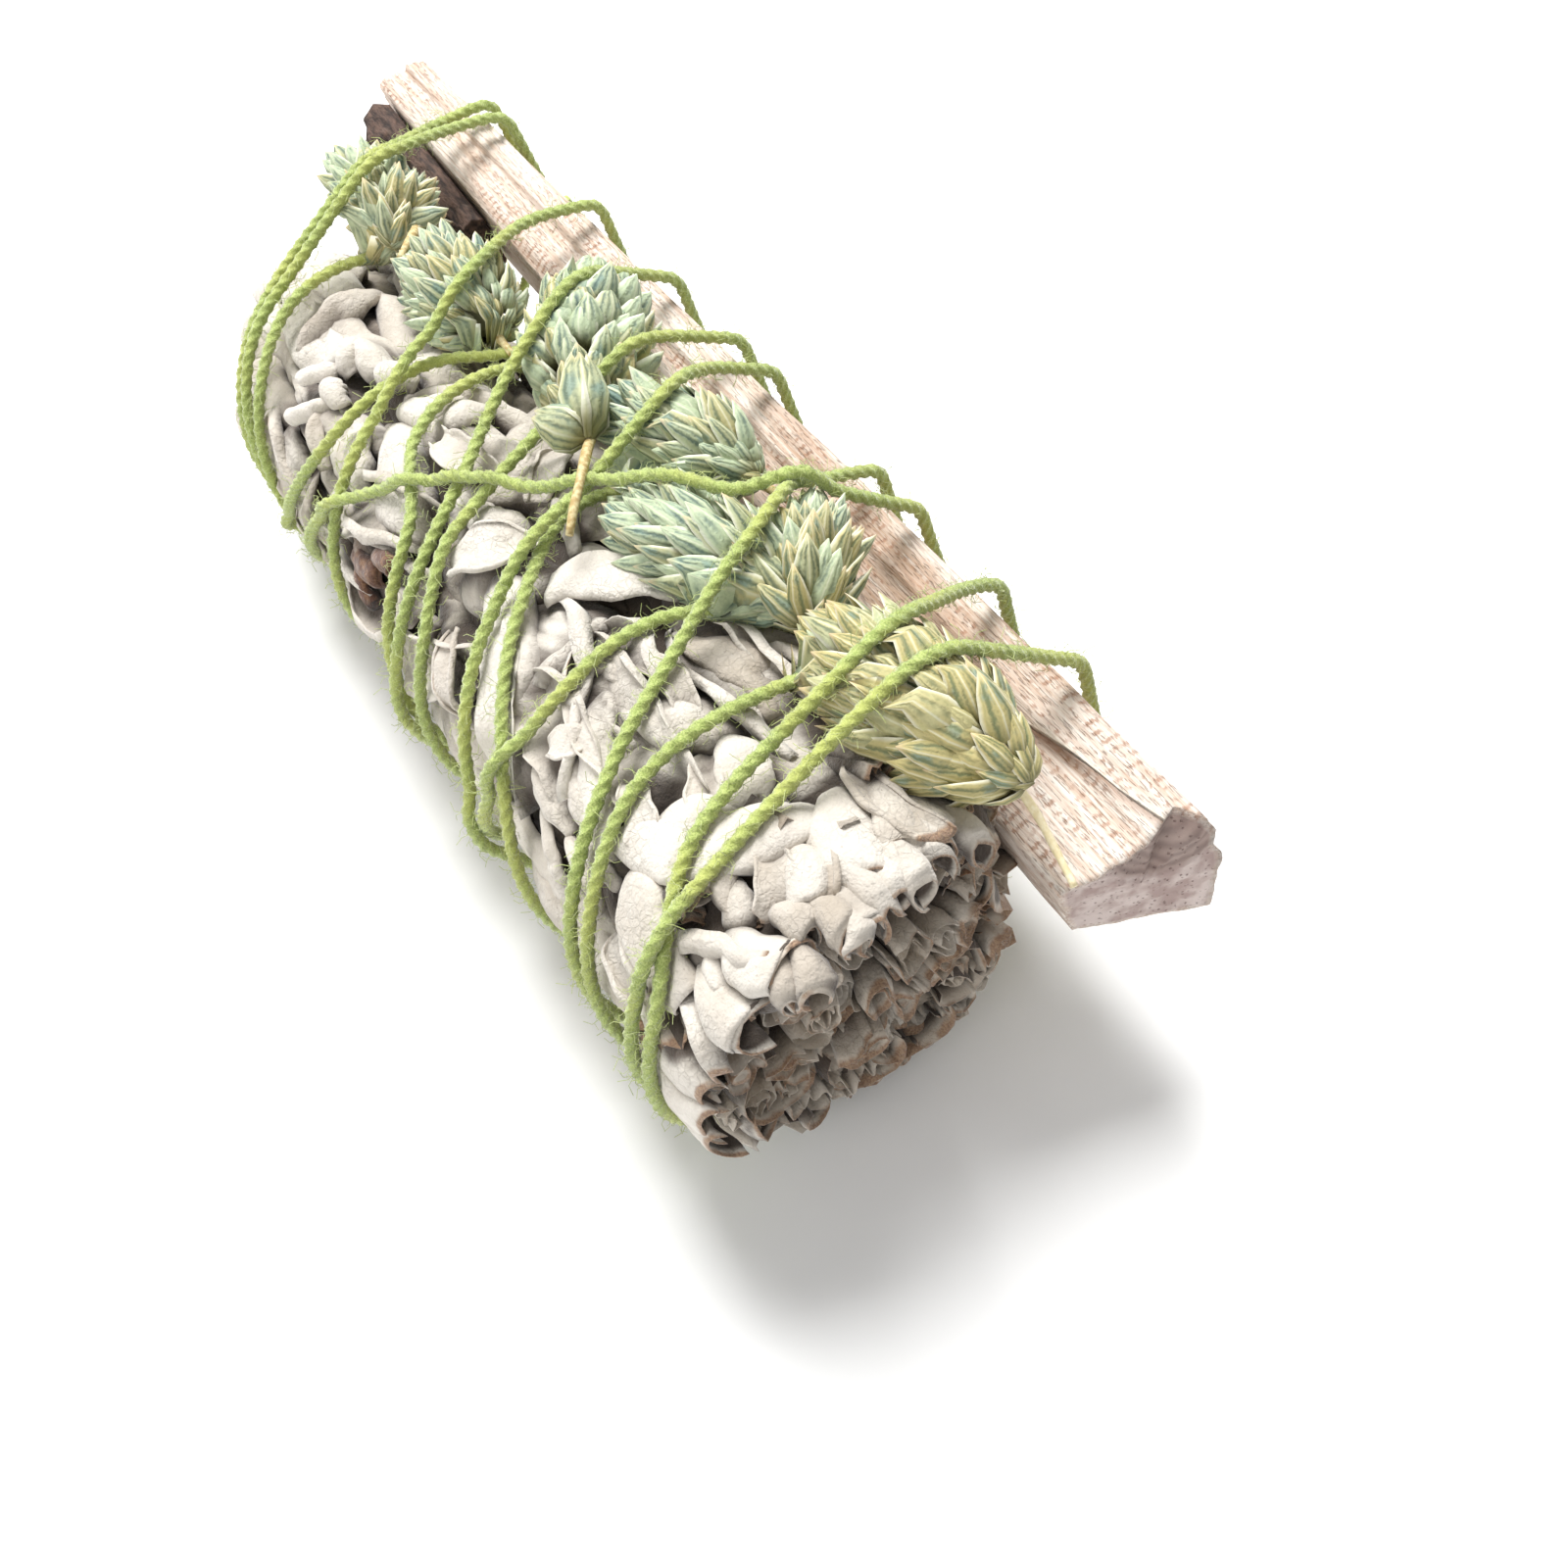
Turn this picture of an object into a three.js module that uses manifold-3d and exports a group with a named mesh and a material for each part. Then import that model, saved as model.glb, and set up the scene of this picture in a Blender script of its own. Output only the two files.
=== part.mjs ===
// Sage smudge stick: white sage sprigs, a split palo santo stick and canary grass heads,
// wound together with one long twine. It lies on its side, cut stems at +X, in millimetres, +Z up.

import * as THREE from 'three';
import { mergeVertices } from 'three/addons/utils/BufferGeometryUtils.js';
import Module from 'manifold-3d';

const wasm = await Module();
wasm.setup();

const { lerp, clamp, smoothstep, degToRad } = THREE.MathUtils;

// The sage: round bundle that widens towards its cut end; the axis sinks a little at the tips
const SAGE_TIP_X = -54;
const SAGE_CUT_X = 58;
const SAGE_LEAN = 0.12;
const SAGE_LEAN_LENGTH = 28;
const SAGE_TIP_RADIUS = 13.9;
const SAGE_CUT_RADIUS = 18.1;
const SAGE_TIP_SHIFT_Y = -2.1;
const SAGE_TIP_SHIFT_Z = -2.6;
const SAGE_SHOULDER = 14;
const SPRIG_COUNT = 6;
const SPRIG_FIRST_ANGLE = -110;
const MIDDLE_SPRIG_RADIUS = 6;
const LEAF_THICKNESS = 0.8;
const LEAF_ROOT_DEPTH = 2.2;
const LEAF_SUNK_DEPTH = 4.2;
const CORE_DEPTH = 2.9;
const LEAVES_PER_SPRIG = 6;

// It rests on two flat-bottomed pads of pressed leaf, which stand a little lower than the twine
const FLOOR_Z = -20.6;
const FEET_X = [-15.8, 31.5];
const FOOT_LENGTH = 5.6;
const FOOT_WIDTH = 10;
const FOOT_ASIDE = 3;

// The palo santo stick: section centre, width and thickness at its two ends, and its tilt
const WOOD_HALF_LENGTH = 65;
const WOOD_FAR = { y: 20.7, z: 11.6, width: 6.6 };
const WOOD_NEAR = { y: 21.7, z: 5.4, width: 13.4 };
const WOOD_THICKNESS = 11.4;
const WOOD_DEEPENING = 0.68;
const WOOD_TILT = degToRad(15.8);
const BARK_LENGTH = 27;
const BARK_THICKNESS = 4.2;

// The twine, how far a crossing lifts it, and the gap that every two pieces keep
const TWINE_RADIUS = 0.8;
const TWINE_SIDES = 5;
const TWINE_LIFT = 1.2;
const TWINE_LONGEST_STEP = 7;
const TWINE_TOLERANCE = 0.3;
const GAP = 0.3;
const TWINE_CLEARANCE = TWINE_RADIUS + GAP + TWINE_TOLERANCE;

// The canary grass heads: where each one's middle lies, its half length and radius, and how far its
// tip turns to the left (yaw) and up (pitch), in degrees
const HEADS = [
  { x: -51.2, y: 7.2, z: 13.4, half: 6.4, radius: 4.8, yaw: -4, pitch: 3 },
  { x: -41.5, y: 7.4, z: 15.8, half: 8.2, radius: 5.6, yaw: -29, pitch: 7 },
  { x: -23.4, y: 6.3, z: 15.6, half: 9.6, radius: 6.5, yaw: 3, pitch: 1 },
  { x: -5.9, y: 12.4, z: 17.2, half: 10.4, radius: 6.9, yaw: -34, pitch: 12 },
  { x: 12.0, y: 12.0, z: 18.0, half: 10.8, radius: 5.6, yaw: 22, pitch: 0 },
  { x: 25.4, y: 6.6, z: 17.8, half: 12.4, radius: 5.8, yaw: 20, pitch: -2 },
  { x: 32.5, y: 12.6, z: 19.2, half: 8.4, radius: 5.4, yaw: -37, pitch: 15 },
  { x: 49.4, y: 10.6, z: 19.4, half: 13.0, radius: 6.6, yaw: 12, pitch: -1 },
];
const HEAD_SIDE_BY_SIDE = 0.35;
const GLUMES_PER_HEAD = 20;
const GLUME_LENGTH = 6.4;
const GLUME_WIDTH = 3.6;
const GLUME_DEPTH = 2.2;
const GOLDEN_ANGLE = Math.PI * (3 - Math.sqrt(5));

// The twine's route: the angle round the bundle in degrees, counted on from turn to turn, and the
// place along it. The sage is wound first, to the cut end and back, and from OUTER_START the turns
// take in the stick and the heads as well, to the cut end and back.
const OUTER_START = 2090;
const TWINE_LENGTH_ENDS = [1400, OUTER_START, 4900, 5240];
const TWINE_ROUTE = [
  [25, -40], [77, -38.4], [112, -36.8], [147, -32.4], [200, -27.5], [270, -23], [350, -17],
  [436, -11], [470, -6.3], [487, 1.5], [529, 5.4], [600, 9.8], [700, 12],
  [803, 12.5], [838, 19.8], [886, 31.8], [960, 36.5], [1060, 39.5],
  [1157, 41.3], [1200, 41.6], [1238, 45.6], [1310, 50.5], [1400, 50], [1470, 40],
  [1523, 29.9], [1574, 29.3], [1615, 26.4], [1700, 14], [1800, -6],
  [1874, -14.8], [1931, -16.2], [1958, -19.5], [1986, -25.6], [2060, -41], [2130, -48],
  [2201, -49.6], [2227, -43.8], [2270, -41.4], [2331, -36.1], [2400, -35.6], [2480, -40],
  [2561, -46.4], [2587, -41.9], [2640, -38.5], [2686, -33.6], [2760, -29], [2840, -27.5],
  [2926, -25.5], [2953, -18.3], [3007, -11.7], [3060, -8.6], [3140, -9.5], [3220, -11.5],
  [3289, -10], [3312, -5.4], [3362, 4.9], [3405, 7.6], [3480, 6.5], [3560, 2],
  [3647, 1], [3670, 3], [3719, 7.1], [3753, 12], [3840, 14], [3920, 9],
  [4004, 6.9], [4027, 11.8], [4078, 16.8], [4142, 24.5], [4220, 26], [4290, 24],
  [4362, 23.8], [4391, 30.6], [4433, 37], [4475, 43.2], [4560, 45.5], [4640, 42.5],
  [4710, 40.3], [4746, 45.9], [4796, 48.6], [4835, 55.9], [4910, 56.6], [5000, 52.5],
  [5099, 50.2], [5149, 51.5], [5190, 53.6], [5260, 53], [5340, 43], [5410, 30],
  [5458, 27.2], [5481, 15.1], [5513, 0], [5569, -15.8], [5640, -27], [5720, -36], [5785, -39],
];

const materials = {
  wood: new THREE.MeshStandardMaterial({ color: 0xd2b08c, roughness: 0.75, metalness: 0 }),
  bark: new THREE.MeshStandardMaterial({ color: 0x4a3224, roughness: 0.9, metalness: 0 }),
  leaf: new THREE.MeshStandardMaterial({ color: 0xbdb9ae, roughness: 0.95, metalness: 0 }),
  grass: new THREE.MeshStandardMaterial({ color: 0xa3b596, roughness: 0.8, metalness: 0 }),
  twine: new THREE.MeshStandardMaterial({ color: 0x8d9f45, roughness: 0.9, metalness: 0 }),
};

// Seeded draw: a number from 0 to 1 each time it is called
function makeRandom(seed) {
  let state = seed >>> 0;
  return () => {
    state = (Math.imul(state, 1664525) + 1013904223) >>> 0;
    return state / 4294967296;
  };
}

// Signed volume, used to turn a closed surface the right way out
function signedVolume(points, index) {
  const a = new THREE.Vector3();
  const b = new THREE.Vector3();
  const c = new THREE.Vector3();
  let sum = 0;
  for (let i = 0; i < index.length; i += 3) {
    a.fromArray(points, index[i] * 3);
    b.fromArray(points, index[i + 1] * 3);
    c.fromArray(points, index[i + 2] * 3);
    sum += a.dot(b.cross(c));
  }
  return sum / 6;
}

// A closed geometry becomes a solid, with shared vertices and its faces pointing out
function toSolid(geometry) {
  const bare = new THREE.BufferGeometry();
  bare.setAttribute('position', geometry.getAttribute('position').clone());
  bare.setIndex(geometry.index ? geometry.index.clone() : null);
  const merged = mergeVertices(bare, 1e-4);
  const points = new Float32Array(merged.getAttribute('position').array);
  const index = [];
  for (let i = 0; i < merged.index.count; i += 3) {
    const [a, b, c] = [0, 1, 2].map((k) => merged.index.getX(i + k));
    if (a !== b && b !== c && c !== a) index.push(a, b, c);
  }
  if (signedVolume(points, index) < 0) index.reverse();
  return new wasm.Manifold(new wasm.Mesh({
    numProp: 3, vertProperties: points, triVerts: new Uint32Array(index),
  }));
}

// Cuts can leave loose scraps behind: only the largest piece stays
function largestPiece(solid) {
  const pieces = solid.decompose();
  return pieces.reduce((best, piece) => (piece.volume() > best.volume() ? piece : best));
}

function joinAll(solids) {
  return solids.reduce((sum, solid) => sum.add(solid));
}

function toMesh(name, solid, material) {
  const { vertProperties, triVerts } = solid.getMesh();
  const geometry = new THREE.BufferGeometry();
  geometry.setAttribute('position', new THREE.BufferAttribute(new Float32Array(vertProperties), 3));
  geometry.setIndex(new THREE.BufferAttribute(new Uint32Array(triVerts), 1));
  geometry.computeVertexNormals();
  const mesh = new THREE.Mesh(geometry, material);
  mesh.name = name;
  return mesh;
}

// A bar with straight stations: a cylinder whose rings are moved out to the sections that place
// gives, from the station's share of the length, the corner's number and whether it is the centre
function loft(sides, stations, place) {
  const geometry = new THREE.CylinderGeometry(1, 1, 1, sides, stations);
  const position = geometry.getAttribute('position');
  for (let i = 0; i < position.count; i += 1) {
    const share = Math.round((0.5 - position.getY(i)) * stations) / stations;
    const isCentre = Math.hypot(position.getX(i), position.getZ(i)) < 0.5;
    const turn = Math.atan2(position.getX(i), position.getZ(i)) / (2 * Math.PI);
    const corner = (Math.round(turn * sides) + sides) % sides;
    position.setXYZ(i, ...place(share, corner, isCentre).toArray());
  }
  return geometry;
}

// A thin blade: a plane's grid laid twice, as its outer and its inner face, split alike, with a rim.
// place gives a point from u along (0 to 1), v across (-1 to 1) and the face (1 outer, 0 inner).
function blade(along, across, place) {
  const grid = new THREE.PlaneGeometry(1, 1, along, across);
  const count = grid.getAttribute('position').count;
  const points = [];
  for (const face of [1, 0]) {
    for (let i = 0; i < count; i += 1) {
      const u = grid.getAttribute('position').getX(i) + 0.5;
      const v = grid.getAttribute('position').getY(i) * 2;
      points.push(...place(u, v, face).toArray());
    }
  }
  const index = [...grid.index.array];
  for (let i = 0; i < grid.index.count; i += 3) {
    const [a, b, c] = [0, 1, 2].map((k) => grid.index.getX(i + k) + count);
    index.push(a, c, b);
  }
  const width = along + 1;
  const rim = [];
  for (let i = 0; i < along; i += 1) rim.push(i);
  for (let j = 0; j < across; j += 1) rim.push(along + j * width);
  for (let i = along; i > 0; i -= 1) rim.push(across * width + i);
  for (let j = across; j > 0; j -= 1) rim.push(j * width);
  rim.forEach((a, k) => {
    const b = rim[(k + 1) % rim.length];
    index.push(a, b, b + count, a, b + count, a + count);
  });
  const geometry = new THREE.BufferGeometry();
  geometry.setAttribute('position', new THREE.Float32BufferAttribute(points, 3));
  geometry.setIndex(index);
  return geometry;
}

// Where the sage's axis and surface are
function sageShare(x) {
  return (SAGE_CUT_X - x) / (SAGE_CUT_X - SAGE_TIP_X);
}

function sagePoint(x, angle, radius) {
  const share = sageShare(x);
  const y = SAGE_TIP_SHIFT_Y * share + radius * Math.cos(angle);
  const z = SAGE_TIP_SHIFT_Z * share + radius * Math.sin(angle);
  return new THREE.Vector3(x, y, z);
}

function sageRadius(x) {
  return lerp(SAGE_CUT_RADIUS, SAGE_TIP_RADIUS, sageShare(x));
}

// The bundle's end rounds off over the last millimetres of the tips
function tipFactor(x) {
  const into = clamp((SAGE_TIP_X + SAGE_SHOULDER - x) / SAGE_SHOULDER, 0, 1);
  return Math.sqrt(1 - 0.72 * into * into);
}

// The stick's section at x: centre, half sizes, and the directions across it and out of its top
function woodShare(x) {
  return (x + WOOD_HALF_LENGTH) / (2 * WOOD_HALF_LENGTH);
}

function woodSection(x, grow = 0) {
  const share = woodShare(x);
  return {
    y: lerp(WOOD_FAR.y, WOOD_NEAR.y, share),
    z: lerp(WOOD_FAR.z, WOOD_NEAR.z, share),
    halfWidth: lerp(WOOD_FAR.width, WOOD_NEAR.width, share) / 2 + grow,
    halfThickness: WOOD_THICKNESS / 2 + grow,
  };
}

function woodPoint(x, across, up, grow = 0) {
  const { y, z, halfWidth, halfThickness } = woodSection(x, grow);
  const a = across * halfWidth;
  const b = up * halfThickness;
  return new THREE.Vector3(
    x,
    y + a * Math.cos(WOOD_TILT) - b * Math.sin(WOOD_TILT),
    z + a * Math.sin(WOOD_TILT) + b * Math.cos(WOOD_TILT),
  );
}

// The split stick's corners as across and up at its far and near ends, and how far past its half length
// the saw left each. Two of them make the step that runs down its top face, and the lower right one
// deepens towards the near end.
const WOOD_CORNERS = [
  { far: [-0.92, -1, 1.2], near: [-0.92, -1, -1] },
  { far: [0.94, -1, 1], near: [0.79, -1 - WOOD_DEEPENING, 3.4] },
  { far: [1, -0.2, 0.8], near: [1, -0.3, 3.4] },
  { far: [0.97, 0.9, 0.6], near: [0.97, 0.9, 2.2] },
  { far: [0.73, 0.97, 0.7], near: [0.73, 0.98, -0.2] },
  { far: [0.3, 1, 0.9], near: [0.3, 1, 0.7] },
  { far: [0.18, 0.88, 1], near: [0.18, 0.88, 0.6] },
  { far: [-0.6, 0.96, 1.5], near: [-0.6, 0.96, 0.4] },
  { far: [-1, 0.86, 1.7], near: [-1, 0.86, -0.5] },
  { far: [-0.96, -0.1, 1.5], near: [-0.96, -0.1, -1] },
];

function woodSolid(grow = 0) {
  const random = makeRandom(11);
  const stations = 8;
  const wobble = Array.from({ length: (stations + 1) * WOOD_CORNERS.length }, () => random() - 0.5);
  return toSolid(loft(WOOD_CORNERS.length, stations, (share, corner, isCentre) => {
    const { far, near } = isCentre ? { far: [0, 0, 1.1], near: [0, 0, 1.2] } : WOOD_CORNERS[corner];
    const across = lerp(far[0], near[0], share);
    const up = lerp(far[1], near[1], share);
    const j = Math.round(share * stations);
    const drift = isCentre ? 0 : wobble[j * WOOD_CORNERS.length + corner] * 0.07;
    const past = share > 0.99 ? near[2] + grow : share < 0.01 ? -far[2] - grow : 0;
    const x = lerp(-WOOD_HALF_LENGTH, WOOD_HALF_LENGTH, share) + past;
    return woodPoint(x, across * (1 - Math.abs(drift)), up * (1 - Math.abs(drift)), grow);
  }));
}

// The bark strip hugs the stick's left flank at the far end and swells into a knob there
function barkSolid(grow = 0) {
  const outline = [[0.72, 0], [0.95, 0.35], [0.8, 0.8], [0.2, 1], [-0.45, 0.85], [-0.8, 0.3], [-0.7, 0]];
  const stations = 7;
  const random = makeRandom(5);
  const lumps = Array.from({ length: (stations + 1) * outline.length }, () => 0.86 + 0.28 * random());
  return toSolid(loft(outline.length, stations, (share, corner, isCentre) => {
    const [up, out] = isCentre ? [0, 0.4] : outline[corner];
    const x = -WOOD_HALF_LENGTH + BARK_LENGTH * share + (share > 0.5 ? grow : -grow);
    const knob = 1.1 - 0.3 * share + 0.15 * Math.sin(share * 9);
    const j = Math.round(share * stations);
    const lump = isCentre ? 1 : lumps[j * outline.length + corner];
    const { halfWidth, halfThickness } = woodSection(x);
    const depth = (GAP + BARK_THICKNESS * out * knob * lump + grow * Math.sign(out)) / halfWidth;
    return woodPoint(x, -1 - depth, up * (lerp(0.95, 0.75, share) + grow / halfThickness));
  }));
}

// The twine's centre line: the place along the bundle at any angle, by a smooth curve through the route
function routeX(angle) {
  const last = TWINE_ROUTE.length - 2;
  let k = 0;
  while (k < last && TWINE_ROUTE[k + 1][0] < angle) k += 1;
  const slopeAt = (i) => {
    const before = TWINE_ROUTE[Math.max(i - 1, 0)];
    const after = TWINE_ROUTE[Math.min(i + 1, last + 1)];
    return (after[1] - before[1]) / (after[0] - before[0]);
  };
  const [a0, x0] = TWINE_ROUTE[k];
  const [a1, x1] = TWINE_ROUTE[k + 1];
  const span = a1 - a0;
  const t = clamp((angle - a0) / span, 0, 1);
  const h = t * t * (3 - 2 * t);
  return lerp(x0, x1, h) + span * (slopeAt(k) * t * (1 - t) ** 2 - slopeAt(k + 1) * t * t * (1 - t));
}

// Points that a taut strand round everything can touch at x, each the strand's half width away
function strandRing(x, isOuter) {
  const ring = [];
  const addCircle = (y, z, radius, count) => {
    for (let k = 0; k < count; k += 1) {
      const turn = (2 * Math.PI * k) / count;
      const out = radius + TWINE_CLEARANCE;
      ring.push([y + out * Math.cos(turn), z + out * Math.sin(turn)]);
    }
  };
  const axis = sagePoint(x, 0, 0);
  addCircle(axis.y, axis.z, sageRadius(x), 36);
  if (isOuter) {
    for (const across of [-1, 1]) {
      for (const up of [-1, 1]) {
        const corner = woodPoint(x, across, up);
        addCircle(corner.y, corner.z, 0, 10);
      }
    }
    const lowest = woodPoint(x, 0.8, -1 - WOOD_DEEPENING * woodShare(x));
    addCircle(lowest.y, lowest.z, 0, 10);
    for (const head of HEADS) {
      const beside = (x - head.x) / head.half;
      if (Math.abs(beside) < 1) addCircle(head.y, head.z, 0.7 * head.radius * Math.sqrt(1 - beside ** 2), 12);
    }
  }
  return ring;
}

// How far from the sage's axis the taut strand runs in one direction: where the ring's hull ends
function hullRadius(x, angle, isOuter) {
  const axis = sagePoint(x, 0, 0);
  const [c, s] = [Math.cos(angle), Math.sin(angle)];
  const local = strandRing(x, isOuter).map(([y, z]) => {
    const [dy, dz] = [y - axis.y, z - axis.z];
    return { side: dz * c - dy * s, out: dy * c + dz * s };
  });
  const left = local.filter((p) => p.side >= 0);
  const right = local.filter((p) => p.side < 0);
  let radius = 0;
  for (const a of left) {
    for (const b of right) {
      const t = a.side / (a.side - b.side);
      radius = Math.max(radius, lerp(a.out, b.out, t));
    }
  }
  return radius;
}

// How far out the stick's near side is, less a clearance, where a strand runs below it
function underWood(x, angle, clearance) {
  const axis = sagePoint(x, 0, 0);
  let nearest = Infinity;
  for (let k = 0; k <= 40; k += 1) {
    const below = Math.max(0, k - 20) / 20;
    const up = Math.max(-1, 1 - k / 10) - WOOD_DEEPENING * woodShare(x) * below;
    const p = woodPoint(x, -1 + 2 * below, up);
    const [dy, dz] = [p.y - axis.y, p.z - axis.z];
    const out = dy * Math.cos(angle) + dz * Math.sin(angle);
    const side = dz * Math.cos(angle) - dy * Math.sin(angle);
    if (out > 0 && Math.abs(side) < clearance) {
      nearest = Math.min(nearest, out - Math.sqrt(clearance ** 2 - side ** 2));
    }
  }
  return nearest;
}

function strandPoint(degrees, lift = 0) {
  const angle = degToRad(degrees);
  const x = routeX(degrees);
  const isOuter = degrees > OUTER_START;
  let radius = hullRadius(x, angle, isOuter) + lift;
  if (!isOuter) radius = Math.min(radius, underWood(x, angle, TWINE_CLEARANCE));
  const point = sagePoint(x, angle, radius);
  point.z = Math.max(point.z, FLOOR_Z + TWINE_RADIUS + 0.1);
  return point;
}

// Strands are laid one after another, and a later one rises over the earlier ones that it crosses
function twinePoints() {
  const step = 1.5;
  const reach = 4 * TWINE_RADIUS;
  const first = TWINE_ROUTE[0][0];
  const last = TWINE_ROUTE[TWINE_ROUTE.length - 1][0];
  const laid = [];
  for (let degrees = first; degrees <= last; degrees += step) {
    laid.push({ degrees, point: strandPoint(degrees) });
  }
  const halfTurn = 180 / step;
  laid.forEach((here, i) => {
    let near = Infinity;
    for (let j = 0; j < i - halfTurn; j += 1) near = Math.min(near, here.point.distanceTo(laid[j].point));
    here.lift = TWINE_LIFT * smoothstep(reach - near, 0, 0.8 * reach);
  });
  return laid.map(({ degrees, lift }) => Object.assign(strandPoint(degrees, lift), { degrees }));
}

// Leaves out the points that a straight step would pass within the tolerance
function thinOut(points, tolerance, longest) {
  const kept = [points[0]];
  let from = 0;
  const line = new THREE.Line3();
  const foot = new THREE.Vector3();
  while (from < points.length - 1) {
    let to = from + 1;
    while (to + 1 < points.length) {
      line.set(points[from], points[to + 1]);
      const passes = points.slice(from + 1, to + 1)
        .every((p) => line.closestPointToPoint(p, true, foot).distanceTo(p) < tolerance);
      if (!passes || line.distance() > longest) break;
      to += 1;
    }
    kept.push(points[to]);
    from = to;
  }
  return kept;
}

// A path that gives back its own points, one for each step of an extrusion
class PointPath extends THREE.Curve {
  constructor(points) {
    super();
    this.points = points;
  }

  getPointAt(u, target = new THREE.Vector3()) {
    return target.copy(this.points[Math.round(u * (this.points.length - 1))]);
  }

  getTangentAt(u, target = new THREE.Vector3()) {
    const k = Math.round(u * (this.points.length - 1));
    const before = this.points[Math.max(k - 1, 0)];
    const after = this.points[Math.min(k + 1, this.points.length - 1)];
    return target.subVectors(after, before).normalize();
  }
}

function tube(points, radius, sides) {
  const section = new THREE.Shape(Array.from({ length: sides }, (_, k) => {
    const turn = (2 * Math.PI * k) / sides;
    return new THREE.Vector2(radius * Math.cos(turn), radius * Math.sin(turn));
  }));
  const extrudePath = new PointPath(points);
  return new THREE.ExtrudeGeometry(section, { steps: points.length - 1, extrudePath, curveSegments: 1 });
}

// The twine in lengths that don't cross themselves, each one step into the next, before they are fused
function twineLengths(points, radius, sides) {
  const ends = TWINE_LENGTH_ENDS.map((end) => points.findIndex((p) => p.degrees >= end));
  const starts = [0, ...ends];
  return starts.map((start, k) => {
    const end = k < ends.length ? ends[k] + 2 : points.length;
    return toSolid(tube(points.slice(start, end), radius, sides));
  });
}

// The sage keeps clear of the stick: its surface gives way under it
function sageSurface(x, angle) {
  return Math.min(sageRadius(x) * tipFactor(x), underWood(x, angle, 2 * GAP));
}

// Bounds of the outer sprig k in degrees
function sprigBounds(k) {
  const width = 360 / SPRIG_COUNT;
  return [SPRIG_FIRST_ANGLE + k * width, SPRIG_FIRST_ANGLE + (k + 1) * width];
}

// A point at a radius and a share of the way across sprig k, half the gap inside its bounds
function sprigPoint(k, x, share, radius) {
  const [from, to] = sprigBounds(k).map(degToRad);
  const across = clamp(share, 0, 1);
  const inset = (GAP / 2 / radius) * (1 - 2 * across);
  return sagePoint(x, lerp(from, to, across) + inset, radius);
}

// An annular sector through the bundle: corners run in along the inner arc and back out
function sectorSolid(k, fromX, toX, stations, outerRadius) {
  const innerShares = [0, 0.5, 1];
  const outerShares = [1, 0.75, 0.5, 0.25, 0];
  const innerRadius = MIDDLE_SPRIG_RADIUS + 2 * GAP;
  const sides = innerShares.length + outerShares.length;
  return toSolid(loft(sides, stations, (share, corner, isCentre) => {
    const x = lerp(fromX, toX, share);
    if (isCentre) return sprigPoint(k, x, 0.5, (innerRadius + outerRadius(x, 0.5)) / 2);
    if (corner < innerShares.length) return sprigPoint(k, x, innerShares[corner], innerRadius);
    const across = outerShares[corner - innerShares.length];
    return sprigPoint(k, x, across, outerRadius(x, across));
  }));
}

// A sage leaf of sprig k laid on the bundle: root sunk in, tip towards -X and lifted, folded along
// its midrib and cut off where the bundle is. It bends clear of the next sprig, and its inner face
// is sunk in the sprig's core and comes free of it only past the core's end.
function leafSolid(k, { rootX, tipX, cutX, rootShare, tipShare, halfWidth, fold, tipDepth, sway, phase }) {
  const uncut = Math.max(0, (rootX - cutX) / (rootX - tipX));
  const [from, to] = sprigBounds(k).map(degToRad);
  return toSolid(blade(4, 2, (along, v, face) => {
    const u = lerp(uncut, 1, along);
    const x = lerp(rootX, tipX, u);
    const profile = Math.sin(Math.PI * (0.12 + 0.8 * u)) ** 0.8;
    const aside = v * halfWidth * profile + sway * Math.sin(phase + 5 * u);
    const share = lerp(rootShare, tipShare, u) + aside / sageRadius(x) / (to - from);
    const depth = Math.max(0.05, lerp(LEAF_ROOT_DEPTH, tipDepth, u ** 0.8) + fold * Math.abs(v) * profile);
    const sunk = LEAF_SUNK_DEPTH * smoothstep(x, SAGE_TIP_X + 3, SAGE_TIP_X + 12);
    const innerDepth = Math.max(depth + LEAF_THICKNESS, sunk);
    const surface = sageSurface(x, lerp(from, to, share));
    return sprigPoint(k, x, share, surface - (face ? depth : innerDepth));
  }));
}

// The curled end of a cut leaf: a ribbon bent round its own middle, standing out of the cut face
function curlSolid(angle, radius, curl, start, sweep) {
  const middle = sagePoint(SAGE_CUT_X, angle, radius);
  return toSolid(blade(5, 1, (u, v, face) => {
    const turn = start + sweep * u;
    const bend = curl * (1 - 0.35 * u) + (face ? LEAF_THICKNESS / 2 : -LEAF_THICKNESS / 2);
    return new THREE.Vector3(
      SAGE_CUT_X - (v > 0 ? 0.6 + 0.5 * Math.sin(3 * u + start) : 6),
      middle.y + bend * Math.cos(turn),
      middle.z + bend * Math.sin(turn),
    );
  }));
}

function stemSolid(x, angle, radius, thickness) {
  const geometry = new THREE.CylinderGeometry(thickness, thickness * 1.05, 7, 7);
  geometry.rotateZ(-Math.PI / 2);
  const middle = sagePoint(x, angle, radius);
  geometry.translate(x - 3.2, middle.y, middle.z);
  return toSolid(geometry);
}

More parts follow.
